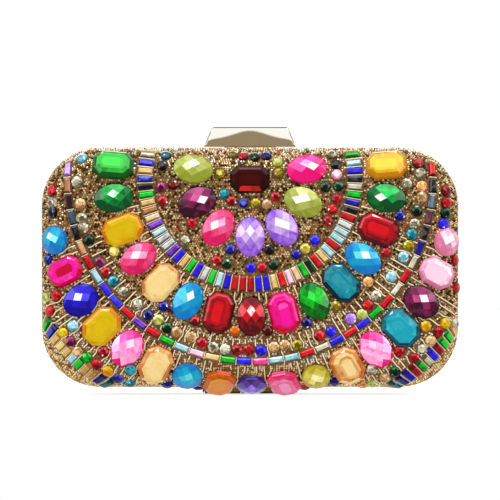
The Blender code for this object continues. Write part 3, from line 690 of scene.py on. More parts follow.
def setStone(target, kind, length, width, matrix, number=0, **tones):
    shape = octagonShape(length, width) if kind == "octagon" else ovalShape(length, width)
    toneFacets(shape, kind, matrix, **tones)
    put(target, shape, matrix, number)
    # The bezel gets no tone, so it takes the stone's deep colour: a dark rim of painted shade round the stone
    put(target, bezelShape(kind, length, width), matrix, number)
    cover(kind, matrix, length, width)


def addJewel(nodeName, kind, length, width, colour, matrix, **tones):
    shape = bmesh.new()
    setStone(shape, kind, length, width, matrix, openBelow=colour in octagonTone["openBelow"], **tones)
    addPiece(nodeName + "_cut", shape, [stonePaint[colour]], "front_half", nodeName)


middleRing = {
    "share": 0.655,
    "endShare": 0.44,
    "sizes": {"octagon": (1.24, 0.87), "oval": (1.19, 0.85)},
    "stones": (
        ("octagon", "yellow"), ("oval", "emerald"), ("octagon", "red"), ("oval", "cyan"),
        ("octagon", "teal"), ("oval", "green"), ("octagon", "magenta"), ("oval", "red"),
        ("octagon", "red"), ("oval", "cyan"), ("octagon", "peach"), ("oval", "pink"),
        ("octagon", "amber"), ("oval", "emerald"), ("octagon", "green"),
    ),
    "wells": {0: 0.08, 14: 0.1},    # tone that a table is paler by
}
outerRing = {
    "sideShare": 0.970,
    "bottomShare": 0.984,
    "swell": 0.026,
    "ends": (17.8, 162.7),
    "stones": (
        ("oval", 0.87, 0.87, "blush"), ("octagon", 1.09, 0.84, "blush"), ("oval", 1.15, 0.90, "plum"),
        ("octagon", 1.24, 0.96, "turquoise"), ("oval", 1.18, 0.92, "rose"),
        ("octagon", 1.18, 0.92, "peach"), ("oval", 0.87, 0.87, "lemon"),
        ("octagon", 1.18, 0.92, "pink"), ("oval", 1.18, 0.90, "violet"),
        ("octagon", 1.18, 0.92, "orange"), ("oval", 0.92, 0.92, "cyan"),
        ("octagon", 1.18, 0.92, "peach"), ("oval", 1.18, 0.92, "rose"),
        ("octagon", 1.24, 0.96, "amber"), ("oval", 1.12, 0.92, "royal"),
        ("octagon", 1.09, 0.81, "magenta"), ("oval", 0.87, 0.87, "cyan"),
    ),
    "wells": {15: -0.6},
    "flats": (4, 12),       # ovals with one broad table under a painted pale reflection
    "rear": range(7, 10),   # the stones that the rear half has as well
    "rearShare": 0.991,
    "rearGrowth": 1.03,
}
innerRing = {
    "share": 0.275,
    "endShare": 0.32,
    "size": (1.17, 0.86),
    "colours": ("rose", "lime", "lilac", "lilac", "pink", "plum", "lime"),
}
centreStone = {"length": 18.4 * mm, "width": 12.6 * mm, "dim": 0.36}

addJewel("centre_jewel", "octagon", centreStone["length"], centreStone["width"], "garnet",
         seat(0, sunHeight, Vector((1, 0, 0))), dim=centreStone["dim"])

ends = ringEnds(middleRing["share"], middleRing["endShare"])
pitch = ringPitch(middleRing["share"], ends, len(middleRing["stones"]))
for index, (kind, colour), matrix in ringSeats(middleRing["share"], ends, middleRing["stones"]):
    long, wide = middleRing["sizes"][kind]
    addJewel(f"middle_jewel_{index + 1:02d}", kind, long * pitch, wide * pitch, colour, matrix,
             well=middleRing["wells"].get(index, 0))

rearStones = bmesh.new()
count = len(outerRing["stones"])
pitch = ringPitch(outerRing["bottomShare"], outerRing["ends"], count)
for index, (kind, long, wide, colour) in enumerate(outerRing["stones"]):
    degrees = ringAngle(outerRing["ends"], index, count)
    down = math.sin(math.radians(degrees)) ** 2
    share = outerRing["sideShare"] + (outerRing["bottomShare"] - outerRing["sideShare"]) * down
    share += outerRing["swell"] * math.sin(math.radians(2 * degrees)) ** 2
    long, wide = long * pitch, wide * pitch
    addJewel(f"outer_jewel_{index + 1:02d}", kind, long, wide, colour, seat(*ringPlace(share, degrees)),
             well=outerRing["wells"].get(index, 0), flat=index in outerRing["flats"])
    if index in outerRing["rear"]:
        grown = outerRing["rearGrowth"]
        setStone(rearStones, kind, grown * long, grown * wide,
                 seat(*ringPlace(outerRing["rearShare"], degrees), side=1), index - outerRing["rear"][0])
rearPaints = [stonePaint[outerRing["stones"][index][-1]] for index in outerRing["rear"]]
addPiece("rearBottomStones", rearStones, rearPaints, "rear_half")

innerStones = bmesh.new()
ends = ringEnds(innerRing["share"], innerRing["endShare"])
pitch = ringPitch(innerRing["share"], ends, len(innerRing["colours"]))
used = sorted(set(innerRing["colours"]))
long, wide = innerRing["size"]
for _, colour, matrix in ringSeats(innerRing["share"], ends, innerRing["colours"]):
    setStone(innerStones, "oval", long * pitch, wide * pitch, matrix, used.index(colour))
addPiece("innerOvals", innerStones, [stonePaint[c] for c in used], "front_half")
print("large stones set")

baguette = {
    "length": 6.8 * mm,
    "width": 2.8 * mm,
    "foot": 0.5 * mm,
    "brim": 0.7 * mm,
    "rise": 1.25 * mm,
    "inset": 0.6 * mm,
    "wall": 0.4 * mm,
    "wallHeight": 1.0 * mm,
    "tones": (0.34, 0.5),   # sides and table
    "lean": 0.75,
    "shine": (-0.14, 0.16),
    "shadeTone": 0.6,
    "backReflection": 0.4,
}
arcs = (
    {
        "node": "inner_baguette_band", "share": 0.500, "endShare": 0.74, "radial": True, "fill": 0.7,
        "colours": "green sky royal coal clear green navy coal red silver sky sky red sky gilt red "
                   "forest green champagne blush red gilt royal royal red red red royal sky green silver "
                   "royal green gilt royal violet silver silver sky violet champagne tan gilt green "
                   "coal navy gilt royal clear",
    },
    {
        "node": "outer_baguette_band", "share": 0.870, "endShare": 0.30, "radial": False, "fill": 0.88,
        "colours": "red coal slate wine coal navy clear red clear red green royal red royal clear red sky "
                   "sky rose royal green gilt blush sky green red violet red royal royal sky red tan "
                   "coal slate wine tan lilac",
    },
    {
        "node": "left_corner_band", "share": 1.200, "ends": (125.5, 144.5), "radial": True, "fill": 0.8,
        "shade": 0.28,
        "colours": "teal navy gilt gilt green sky gilt gilt gilt navy green",
    },
    {
        "node": "right_corner_band", "share": 1.200, "ends": (37.0, 55.0), "radial": True, "fill": 0.8,
        "shade": 0.28,      # share of each stone, at its inner end, that looks dark
        "colours": "gilt green green red royal clear green red royal navy teal",
    },
)


def baguetteShape(across, along):
    shape = block(across, along, baguette["brim"], baguette["foot"])
    stepTable(shape, tableOf(shape), baguette["inset"], baguette["rise"] - baguette["brim"])
    return shape


def wallShape(across, along, height):
    shape = block(across, along, height, height)
    bevelEdges(shape, edgesAtEnd(shape, 2), min(across, along) / 3)
    return shape


# Painted light on a baguette: facets that look up are paler, the tone is evened out for how the stone is
# turned, and the shaded inner end is painted dark
def toneBaguette(shape, matrix, shadeEnd):
    tones, backReflections, turn = toneLayers(shape, matrix)
    shine = luck.uniform(*baguette["shine"]) + evenOut(turn)
    for face in shape.faces:
        face[backReflections] = baguette["backReflection"]
        base = baguette["tones"][face.normal.z > 0.99]
        face[tones] = base + shine + baguette["lean"] * (turn @ face.normal).z
        if face.calc_center_median().x < shadeEnd:
            face[tones] -= baguette["shadeTone"]


wall = baguette["wall"]
for arc in arcs:
    names = arc["colours"].split()
    count = len(names)
    ends = arc.get("ends") or ringEnds(arc["share"], arc["endShare"])
    pitch = ringPitch(arc["share"], ends, count)
    across = baguette["length" if arc["radial"] else "width"]
    used = sorted(set(names))
    band = bmesh.new()
    for index, colour, matrix in ringSeats(arc["share"], ends, names):
        shape = baguetteShape(across, arc["fill"] * pitch)
        shadeEnd = -across
        if "shade" in arc:
            shadeEnd = across * (arc["shade"] - 0.5)
            bmesh.ops.bisect_plane(shape, geom=shape.verts[:] + shape.edges[:] + shape.faces[:],
                                   plane_co=(shadeEnd, 0, 0), plane_no=(1, 0, 0))
        toneBaguette(shape, matrix, shadeEnd)
        put(band, shape, matrix, used.index(colour))
        cover("box", matrix, across + 2 * wall, pitch + wall)
    for index in range(count + 1):
        matrix = seat(*ringPlace(arc["share"], ringAngle(ends, index - 0.5, count)))
        put(band, wallShape(across + 2 * wall, wall, baguette["wallHeight"]), matrix, len(used))
    addPiece(arc["node"] + "_stones", band, [stonePaint[c] for c in used] + [wirePaint],
             "front_half", arc["node"])
print("baguettes set")

# Polished clasp bar
clasp = {
    "baseWidth": 44.2 * mm,
    "topWidth": 36.6 * mm,
    "baseDepth": 10.0 * mm,
    "topDepth": 6.0 * mm,
    "drop": 0.7 * mm,       # the front wall runs this far below the solid's foot
    "crown": 0.30 * mm,     # how far the long faces swell in the middle
    "ends": 0.6 * mm,       # and fall away at their ends
    "chamfer": 0.6 * mm,
    "hollow": (14.0 * mm, 3.2 * mm, 4.0 * mm),
    "cuts": 23,
    "cornerAngle": 0.7,
    "smoothBelow": 20,
}


def claspShape():
    low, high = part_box("clasp_bar")
    shape = bmesh.new()
    bmesh.ops.create_cube(shape, size=2)
    bmesh.ops.subdivide_edges(shape, edges=shape.edges, cuts=clasp["cuts"], use_grid_fill=True)
    for vert in shape.verts:
        u, side, v = vert.co
        up = (v + 1) / 2
        swell = clasp["crown"] * (1 - v * v) - clasp["ends"] * u * u
        halfWide = (clasp["baseWidth"] + (clasp["topWidth"] - clasp["baseWidth"]) * up) / 2
        halfDeep = (clasp["baseDepth"] + (clasp["topDepth"] - clasp["baseDepth"]) * up) / 2
        drop = clasp["drop"] * (1 - up) * (1 - side) / 2
        vert.co = (u * halfWide, side * (halfDeep + swell), low.z + (high.z - low.z) * up - drop)
    corners = [e for e in shape.edges if len(e.link_faces) == 2 and e.calc_face_angle() > clasp["cornerAngle"]
               and max(v.co.z for v in e.verts) > low.z + clasp["chamfer"]]
    bevelEdges(shape, corners, clasp["chamfer"])
    across, deep, tall = clasp["hollow"]
    roof = []
    for face in shape.faces:
        x, y, z = face.calc_center_median()
        if z < low.z + clasp["chamfer"] / 4 and abs(x) < across and abs(y) < deep:
            roof.append(face)
    raised = bmesh.ops.extrude_face_region(shape, geom=roof)["geom"]
    raised = [part for part in raised if isinstance(part, bmesh.types.BMVert)]
    bmesh.ops.translate(shape, vec=(0, 0, tall), verts=raised)
    bmesh.ops.delete(shape, geom=roof, context="FACES")
    bmesh.ops.translate(shape, vec=(0, (low.y + high.y) / 2, 0), verts=shape.verts)
    bmesh.ops.recalc_face_normals(shape, faces=shape.faces)
    return shape


claspMesh = addPiece("claspBarPolished", claspShape(), [claspPaint], "clasp", "clasp_bar").data
claspMesh.shade_smooth()
claspMesh.set_sharp_from_angle(angle=math.radians(clasp["smoothBelow"]))

# Each group is a diameter and its stones: across and up from the rings' centre, in millimetres
roundStones = {
    "sides": 8,
    "swell": 1.12,
    "depth": 1.4 * mm,
    "steps": ((0.12, 0.5 * mm), (0.13, 0.35 * mm)),
    "creased": (0.1, 0.98),     # how far up the facets look that are cut in two
    "crown": 0.4,
    "tone": 0.25,
    "lean": 0.35,
    "wild": 0.3,
    "backReflection": 0.5,
    "flashing": 0.3,    # how many show one facet with a painted white glint
    "brightTones": (0.9, 1.5),
    "groups": (
        (4.6, """
        -40.1 11.4 turquoise, -41.8 6.5 coal, -42.4 -3.8 plum, -36.8 -2.7 garnet, -41.6 -10.3 red,
        -27.7 -20.9 red, -31.2 -29.2 clear, -15.9 -38.9 red, -11.0 -40.3 forest, -9.4 -33.4 navy,
        0.4 -42.1 royal, 5.9 -42.2 red, 11.3 -40.8 forest, 9.2 -33.6 coal, 22.0 -35.8 navy,
        26.3 -32.9 lemon, 31.0 -29.0 royal, 37.3 -20.0 red, 39.1 -14.3 red, 41.3 -9.2 red,
        42.1 -3.4 forest, 36.0 -3.8 forest, 41.3 2.2 blush, 41.0 7.0 coal, 39.1 11.6 clear"""),
        (4.4, """
        -12.4 -7.1 turquoise, -8.7 -10.4 red, -3.1 -11.4 navy, 2.7 -11.4 olive, 8.0 -11.8 champagne,
        12.2 -8.3 red, -14.3 2.7 olive, 13.7 2.9 olive, -8.2 11.6 olive, -3.1 10.9 red,
        2.4 10.7 forest, 7.7 11.1 navy, 13.1 8.0 lime"""),
        (4.9, """
        -80.2 9.9 sky, -82.4 -1.2 clear, -80.9 -11.6 champagne, -80.2 -18.6 clear, -79.5 -23.0 clear,
        -76.7 -29.2 forest, -71.7 -39.6 plum, -68.4 -44.4 red, -65.1 -48.6 turquoise, -60.1 -53.9 clear,
        -53.4 -59.7 clear, -48.8 -64.7 navy, -43.7 -66.9 lime, -39.4 -70.8 forest, -35.0 -72.7 champagne,
        -27.8 -75.1 champagne, -22.7 -78.0 red, -17.4 -80.0 clear, -11.8 -80.9 clear, -6.3 -81.4 red,
        -0.5 -81.2 red, 5.3 -81.6 royal, 11.4 -80.0 champagne, 16.4 -79.0 champagne, 22.5 -79.0 olive,
        33.1 -74.6 red, 38.6 -72.7 royal, 48.1 -66.4 lilac, 53.4 -64.5 lime, 56.3 -60.0 red,
        60.0 -55.6 clear, 67.3 -46.4 sky, 73.1 -37.0 sky, 75.6 -31.6 olive, 77.1 -26.3 turquoise,
        78.5 -21.3 clear, 79.5 -15.2 forest, 81.9 -8.5 champagne, 81.8 -3.4 peach, 81.3 2.7 clear,
        80.2 7.7 red"""),
        (4.6, """
        -64.7 -34.3 lemon, -41.1 -60.6 navy, -26.3 -67.6 red, -7.2 -72.2 orange, 8.5 -72.2 garnet,
        27.1 -68.4 navy, 41.0 -60.4 olive, 56.3 -48.8 peach, 64.9 -34.9 red, 71.4 -17.4 navy,
        74.6 -1.9 clear"""),
        (5.0, """
        -94.7 -5.3 red, -94.4 -11.4 clear, -94.3 -15.9 coal, -96.5 -38.4 navy, -92.3 -55.6 red,
        -95.6 -63.0 red, -97.6 -56.8 lime, -84.4 -69.8 sky, -89.3 -73.4 yellow, -85.6 -77.7 plum,
        -82.4 -82.4 champagne, -78.0 -85.3 green, -70.0 -82.4 red, -73.3 -88.6 red, -67.9 -91.5 amber,
        -63.3 -95.4 navy, -57.0 -90.9 turquoise, -57.5 -97.6 turquoise, -39.6 -98.3 navy,
        -24.9 -99.8 navy, 26.1 -99.5 red, 40.3 -96.9 navy, 58.2 -90.6 clear, 64.5 -94.9 champagne,
        69.3 -92.0 forest, 71.3 -82.1 red, 78.5 -85.7 red, 81.9 -81.4 clear, 86.2 -77.1 champagne,
        83.8 -70.0 yellow, 90.1 -72.9 red, 93.2 -68.8 yellow, 98.1 -69.3 clear, 98.0 -38.9 red,
        98.8 -51.9 red, 93.7 -5.6 red, 93.7 -11.4 red, 93.3 -16.4 forest, 92.4 -21.3 royal,
        53.9 -98.3 peach, 58.7 -97.8 lime"""),
    ),
}


def roundShape(width):
    shape = bmesh.new()
    sides = roundStones["sides"]
    bmesh.ops.create_cone(shape, cap_ends=True, segments=sides, radius1=width / 2, radius2=width / 2,
                          depth=roundStones["depth"])
    table = tableOf(shape)
    for share, rise in roundStones["steps"]:
        stepTable(shape, table, share * width, 0)
        bmesh.ops.rotate(shape, verts=table.verts, matrix=Matrix.Rotation(math.pi / sides, 3, "Z"))
        bmesh.ops.translate(shape, vec=(0, 0, rise), verts=table.verts)
    low, high = roundStones["creased"]
    creased = [f for f in shape.faces if f is not table and low < f.normal.z < high]
    bmesh.ops.triangulate(shape, faces=creased)
    return shape


# Painted light on a small round: facets that look up are paler, and one upper facet is painted bright, white
# on some
def toneRound(shape, matrix):
    tones, backReflections, turn = toneLayers(shape, matrix)
    base = roundStones["tone"] + evenOut(turn)
    for face in shape.faces:
        face[backReflections] = roundStones["backReflection"]
        face[tones] = base + roundStones["lean"] * (turn @ face.normal).z + stray(roundStones["wild"])
    bright = luck.choice([f for f in shape.faces if f.normal.z > roundStones["crown"]])
    bright[tones] = roundStones["brightTones"][luck.random() < roundStones["flashing"]]


rounds = []
for diameter, entries in roundStones["groups"]:
    for entry in entries.split(","):
        across, up, colour = entry.split()
        width = diameter * roundStones["swell"] * mm
        rounds.append((float(across) * mm, sunHeight + float(up) * mm, width, colour))
used = sorted({colour for *_, colour in rounds})
small = bmesh.new()
for x, z, width, colour in rounds:
    matrix = seat(x, z) @ Matrix.Rotation(luck.uniform(0, 1), 4, "Z")
    shape = roundShape(width)
    toneRound(shape, matrix)
    put(small, shape, matrix, used.index(colour))
    cover("oval", matrix, width, width)
addPiece("smallRounds", small, [stonePaint[c] for c in used], "front_half")
print(len(rounds), "small rounds set")


# Finds what lies near a point
def nearTree(points):
    finder = KDTree(len(points))
    for index, point in enumerate(points):
        finder.insert(point, index)
    finder.balance()
    return finder


coverTree = nearTree([place for _, place, *_ in covered])


def isCovered(point, margin, under=coverReach["under"]):
    for _, index, _ in coverTree.find_range(point, coverReach["across"]):
        kind, _, back, halfLength, halfWidth = covered[index]
        across, along, off = back @ point
        length, width = halfLength + margin, halfWidth + margin
        across, along = abs(across) / length, abs(along) / width
        if off > coverReach["over"] or off < -under:
            continue
        if kind == "oval":
            if across * across + along * along < 1:
                return True
        elif across < 1 and along < 1:
            spare = (1 - across) * length + (1 - along) * width
            if kind == "box" or spare > 2 * stone["cutShare"] * halfWidth:
                return True
    return False


# Thin radial wires that part the bead fields; each fan is from share to share, over an arc
ribs = {
    "radius": 0.34 * mm,
    "lift": 0.25,           # of the radius
    "clear": 0.4,           # room to the stones, of the radius
    "step": 1.1 * mm,
    "side": 9 * mm,         # they stop this far from the rim plane
    "fans": (
        (0.765, 0.98, (22.0, 158.0), 53), (1.03, 1.17, (33.0, 59.0), 15),
        (1.03, 1.17, (121.0, 147.0), 15), (0.545, 0.60, (16.0, 164.0), 34),
    ),
    "swerve": (0.0, 0.12, -0.12, 0.24, -0.24, 0.36, -0.36),   # of the pitch, to pass beside a stone
    "apart": 0.7,           # of the pitch, from the wire before
    "bend": 0.13,           # the most that one step goes aside, of the pitch
}


# The free stretches of one radial line, which may bend a little to pass a stone
def freeStretches(start, stop, degrees, pitch):
    steps = math.ceil((stop - start) * sunReach / ribs["step"])
    stretches, path, aside = [], [], 0
    for step in range(steps + 1):
        share = start + (stop - start) * step / steps
        near = [sway for sway in ribs["swerve"] if abs(sway - aside) < ribs["bend"]]
        for sway in sorted(near, key=lambda sway: abs(sway) + abs(sway - aside)):
            point, normal = onSurface(*ringPlace(share, degrees + sway * pitch))
            if abs(point.y) > ribs["side"] and not isCovered(point, ribs["clear"] * ribs["radius"]):
                path.append(point + normal * ribs["lift"] * ribs["radius"])
                aside = sway
                break
        else:
            stretches.append(path)
            path = []
    return [path for path in stretches + [path] if len(path) > 2]


# On each line of a fan, the stretches of the swerve that leaves the most wire
def ribPaths():
    paths = []
    for start, stop, ends, count in ribs["fans"]:
        last = -1
        pitch = (ends[1] - ends[0]) / (count - 1)
        for index in range(count + 1):
            tries = []
            for swerve in ribs["swerve"]:
                if index + swerve - last > ribs["apart"]:
                    found = freeStretches(start, stop, ringAngle(ends, index - 0.5 + swerve, count), pitch)
                    tries.append((sum(len(path) ** 2 for path in found), -abs(swerve), swerve, found))
            if tries:
                best = max(tries)
                last = index + best[2]
                paths += best[3]
    return paths


# Round wires along paths, as one mesh
def addWires(name, paths, radius):
    curve = bpy.data.curves.new(name, "CURVE")
    curve.dimensions = "3D"
    curve.bevel_depth = radius
    curve.bevel_resolution = 1
    curve.use_fill_caps = True
    for path in paths:
        spline = curve.splines.new("POLY")
        spline.points.add(len(path) - 1)
        for point, place in zip(spline.points, path):
            point.co = (*place, 1)
    mesh = finalMesh(bpy.data.objects.new(name + "Carrier", curve))
    addPiece(name, mesh, [wirePaint], "front_half")
    mesh.shade_smooth()


wires = ribPaths()
addWires("radialWires", wires, ribs["radius"])
print(len(wires), "wires set")

beads = {
    "pitch": 1.16 * mm,
    "rowPitch": 0.87,   # of the pitch, on the flat faces
    "width": 1.18 * mm,
    "sizes": (0.9, 1.08),
    "height": 0.55,     # of the width
    "table": 0.58,
    "proud": 0.04,
    "sides": 6,
    "lean": 0.18,
    "apart": 0.45 * mm,     # room round a stone
    "under": 0.75 * mm,     # and under its lifted edge
    "offRims": 0.72 * mm,   # and from the middle of a rim bead or wire
    "rimRow": 1.05 * mm,
    "rimFrom": 4 * mm,      # half length from which a stone has a row of beads round it
    "rimAway": 0.35,        # of the row's spacing
    "rimClear": 0.1 * mm,
    "rimGrowth": 1.15,
    "rimRise": 0.3 * mm,
    "rimLift": 0.1,
    "lit": 42 * mm,     # painted light from below: the beads grow brighter over this much next to the bottom edge
    "lift": 0.6,
    "rearShare": 0.4,   # of that lift, behind
    "topLit": 12 * mm,  # and are painted a little brighter over this much below the top edge, as if lit from above
    "topLift": 0.26,
    "tones": ((0.22, (0.95, 1.2)), (0.48, (-0.15, 0.12)), (1.0, (0.25, 0.75))),  # pale, dark and plain; the palest pale beads reach the painted white glints
    "palest": 1.1,      # highest tone of the beads that are turned down, so that they get no painted white glint
    "sunk": 0.5 * mm,   # how far the glue lies below the beads' tops
    "glue": 0.5 * mm,
    "glueSteps": (12, 8),   # round the corners and the edge
    "parts": 3,         # pieces that each half's beads are split into
}


# Walks round the bag's outline, inset by so much
def walkOutline(inset, spacing, shift):
    radius = bag["cornerRadius"] - inset
    straightX = 2 * (bag["halfWidth"] - bag["cornerRadius"])
    straightZ = 2 * (halfHeight - bag["cornerRadius"])
    arc = math.pi / 2 * radius
    total = 2 * straightX + 2 * straightZ + 4 * arc
    count = round(total / spacing)
    for index in range(count):
        left = (index + shift) * total / count
        for corner in range(4):
            turn = math.pi / 2 * corner
            out = Vector((math.cos(turn), 0, math.sin(turn)))
            side = Vector((-math.sin(turn), 0, math.cos(turn)))
            straight, other = (straightX, straightZ) if corner % 2 else (straightZ, straightX)
            if left < straight:
                yield out * (other / 2 + radius) + side * (left - straight / 2), out
                break
            left -= straight
            if left < arc:
                bend = turn + left / radius
                away = Vector((math.cos(bend), 0, math.sin(bend)))
                yield out * other / 2 + side * straight / 2 + away * radius, away
                break
            left -= arc


# Every bead's place and normal on one half: rows round the wall and the edge, then the flat face
def beadSpots(side):
    spots = []
    middle = Vector((0, bag["rimPlane"], middleHeight))
    edge, pitch = bag["edgeRadius"], beads["pitch"]
    wallRows = int((straightWall - bag["beadStart"]) / pitch)
    arcRows = int(math.pi / 2 * edge / pitch)
    for row in range(wallRows + arcRows + 2):
        if row <= wallRows:
            tilt = 0
            depth = bag["beadStart"] + row * (straightWall - bag["beadStart"]) / (wallRows + 1)
        else:
            tilt = math.pi / 2 * (row - wallRows - 1) / (arcRows + 1)
            depth = straightWall + edge * math.sin(tilt)
        inset = edge * (1 - math.cos(tilt))
        for place, away in walkOutline(inset, pitch, 0.5 * (row % 2)):
            normal = away * math.cos(tilt) + Vector((0, side * math.sin(tilt), 0))
            spots.append((middle + place + Vector((0, side * depth, 0)), normal))
    halfX, halfZ = bag["halfWidth"] - edge, halfHeight - edge
    rounded = bag["cornerRadius"] - edge
    rows = int(2 * halfZ / (pitch * beads["rowPitch"]))
    columns = int(2 * halfX / pitch)
    for row in range(rows):
        z = -halfZ + (row + 0.5) * 2 * halfZ / rows
        for column in range(columns):
            x = -halfX + (column + 0.5 * (row % 2)) * 2 * halfX / columns
            past = Vector((max(abs(x) - halfX + rounded, 0), max(abs(z) - halfZ + rounded, 0)))
            if past.length < rounded:
                spots.append((middle + Vector((x, side * bag["halfDepth"], z)), Vector((0, side, 0))))
    return spots


def beadMesh():
    shape = bmesh.new()
    bmesh.ops.create_cone(shape, cap_ends=True, segments=beads["sides"], radius1=0.5,
                          radius2=0.5 * beads["table"], depth=beads["height"])
    bmesh.ops.translate(shape, vec=(0, 0, beads["proud"] - beads["height"] / 2), verts=shape.verts)
    mesh = asMesh(shape, "bead")
    mesh.materials.append(beadPaint)
    return mesh


# The skin of glue that the beads sit in, hollow towards the shell
def addGlue(name, side):
    low = beads["sunk"]
    depth = bag["halfDepth"] - bag["beadStart"] - low
    shape = bmesh.new()
    bmesh.ops.create_cube(shape, size=2)
    fit(shape, (bag["halfWidth"] - low, depth / 2, halfHeight - low), (0, 0, 0))
    cornerSteps, edgeSteps = beads["glueSteps"]
    bevelEdges(shape, edgesAlong(shape, 1), bag["cornerRadius"] - low, cornerSteps)
    bevelEdges(shape, edgesAtEnd(shape, 1, side), bag["edgeRadius"] - low, edgeSteps)
    shape.normal_update()
    towardsShell = [f for f in shape.faces if f.normal.y * side < -0.9]
    bmesh.ops.delete(shape, geom=towardsShell, context="FACES")
    bmesh.ops.recalc_face_normals(shape, faces=shape.faces)
    bmesh.ops.solidify(shape, geom=shape.faces[:], thickness=beads["glue"])
    place = (0, bag["rimPlane"] + side * (bag["beadStart"] + depth / 2), middleHeight)
    bmesh.ops.translate(shape, vec=place, verts=shape.verts)
    addPiece(name + "Glue", shape, [gluePaint], name + "_half", name + "_pave")


# Geometry nodes that put one bead on every point, turned and sized by the point's own values
def makeSpread(bead):
    tree = bpy.data.node_groups.new("spreadBeads", "GeometryNodeTree")
    for way in ("INPUT", "OUTPUT"):
        tree.interface.new_socket("Geometry", in_out=way, socket_type="NodeSocketGeometry")
    turn, size = [
        node(tree, "GeometryNodeInputNamedAttribute", {"Name": name}, data_type=kind).outputs[0]
        for name, kind in (("turn", "FLOAT_VECTOR"), ("size", "FLOAT"))
    ]
    shown = node(tree, "GeometryNodeObjectInfo", {"Object": bead}).outputs["Geometry"]
    points = node(tree, "NodeGroupInput").outputs[0]
    spread = node(tree, "GeometryNodeInstanceOnPoints",
                  {"Points": points, "Instance": shown, "Rotation": turn, "Scale": size}).outputs[0]
    real = node(tree, "GeometryNodeRealizeInstances", {0: spread}).outputs[0]
    node(tree, "NodeGroupOutput", {0: real})
    return tree


spreadTree = makeSpread(bpy.data.objects.new("beadModel", beadMesh()))


def spreadBeads(name, spots, body):
    backReflection = bmesh.new()
    turn = backReflection.verts.layers.float_vector.new("turn")
    size = backReflection.verts.layers.float.new("size")
    tone = backReflection.verts.layers.float.new("tone")
    for point, normal, width, bright in spots:
        lean = Vector([stray(1) for _ in range(3)]) * beads["lean"]
        matrix = facing(point, (normal + lean).normalized(), Vector((stray(1), 0.3, 0.7)))
        vert = backReflection.verts.new(point)
        vert[turn] = matrix.to_euler()
        vert[size] = width * luck.uniform(*beads["sizes"])
        roll = luck.random() * (1 - bright)
        low, high = next(span for share, span in beads["tones"] if roll < share)
        vert[tone] = min(bright + luck.uniform(low, high), beads["palest"] if normal.z < -0.2 else 2)
    carrier = bpy.data.objects.new(name + "Carrier", asMesh(backReflection, name + "Spots"))
    carrier.modifiers.new("spread", "NODES").node_group = spreadTree
    addPiece(name, finalMesh(carrier), [], body)


# Painted light on the beads: a tone lift next to the bottom edge, less of it behind, and a little below the
# top edge
def brightness(point):
    low = max(0, 1 - (point.z - bag["bottom"]) / beads["lit"])
    high = max(0, 1 - (bag["top"] - point.z) / beads["topLit"])
    share = 1 if point.y < bag["rimPlane"] else beads["rearShare"]
    return beads["lift"] * share * low + beads["topLift"] * high


# Close points round an oval or an octagon, in its own plane
def outlinePoints(kind, x, y, cut):
    if kind == "oval":
        turns = [math.tau * step / 96 for step in range(96)]
        return [(x * math.cos(turn), y * math.sin(turn)) for turn in turns]
    corners = ((x, y - cut), (x - cut, y), (cut - x, y), (-x, y - cut), (-x, cut - y), (cut - x, -y),
               (x - cut, -y), (x, cut - y))
    return [
        tuple(a + (b - a) * step / 12 for a, b in zip(first, second))
        for first, second in zip(corners, corners[1:] + corners[:1])
        for step in range(12)
    ]


# A row of small bright beads round every large stone
def rimBeads():
    spots = []
    away = beads["rimAway"] * beads["rimRow"] + stone["bezelWidth"]
    for kind, place, back, halfLength, halfWidth in covered:
        if kind == "box" or halfLength < beads["rimFrom"]:
            continue
        matrix = back.inverted()
        outline = outlinePoints(kind, halfLength + away, halfWidth + away, 2 * stone["cutShare"] * halfWidth)
        walked = beads["rimRow"]
        for first, second in zip(outline, outline[1:] + outline[:1]):
            walked += math.dist(first, second)
            if walked >= beads["rimRow"]:
                walked = 0
                held = matrix @ Vector((*first, 0))
                point, normal = onSurface(held.x, held.z, -1 if held.y < bag["rimPlane"] else 1)
                if not isCovered(point, beads["rimClear"]):
                    spots.append((point + normal * beads["rimRise"], normal,
                                  beads["rimGrowth"] * beads["rimRow"], beads["rimLift"]))
    return spots


rims = rimBeads()
rimTree = nearTree([spot[0] for spot in rims] + [point for path in wires for point in path])
for word, side in (("front", -1), ("rear", 1)):
    addGlue(word, side)
    spots = [
        (point, normal, beads["width"], brightness(point))
        for point, normal in beadSpots(side)
        if not isCovered(point, beads["apart"], beads["under"])
        and rimTree.find(point)[2] > beads["offRims"]
    ]
    spots += [spot for spot in rims if (spot[0].y - bag["rimPlane"]) * side > 0]
    spots.sort(key=lambda spot: spot[0].x)
    for part in range(beads["parts"]):
        low, high = [len(spots) * (part + more) // beads["parts"] for more in (0, 1)]
        spreadBeads(f"{word}Beads{part + 1}", spots[low:high], word + "_half")
    print(word, len(spots), "beads")


# Stage from here on
scene = bpy.context.scene
scene.view_settings.view_transform = "Standard"

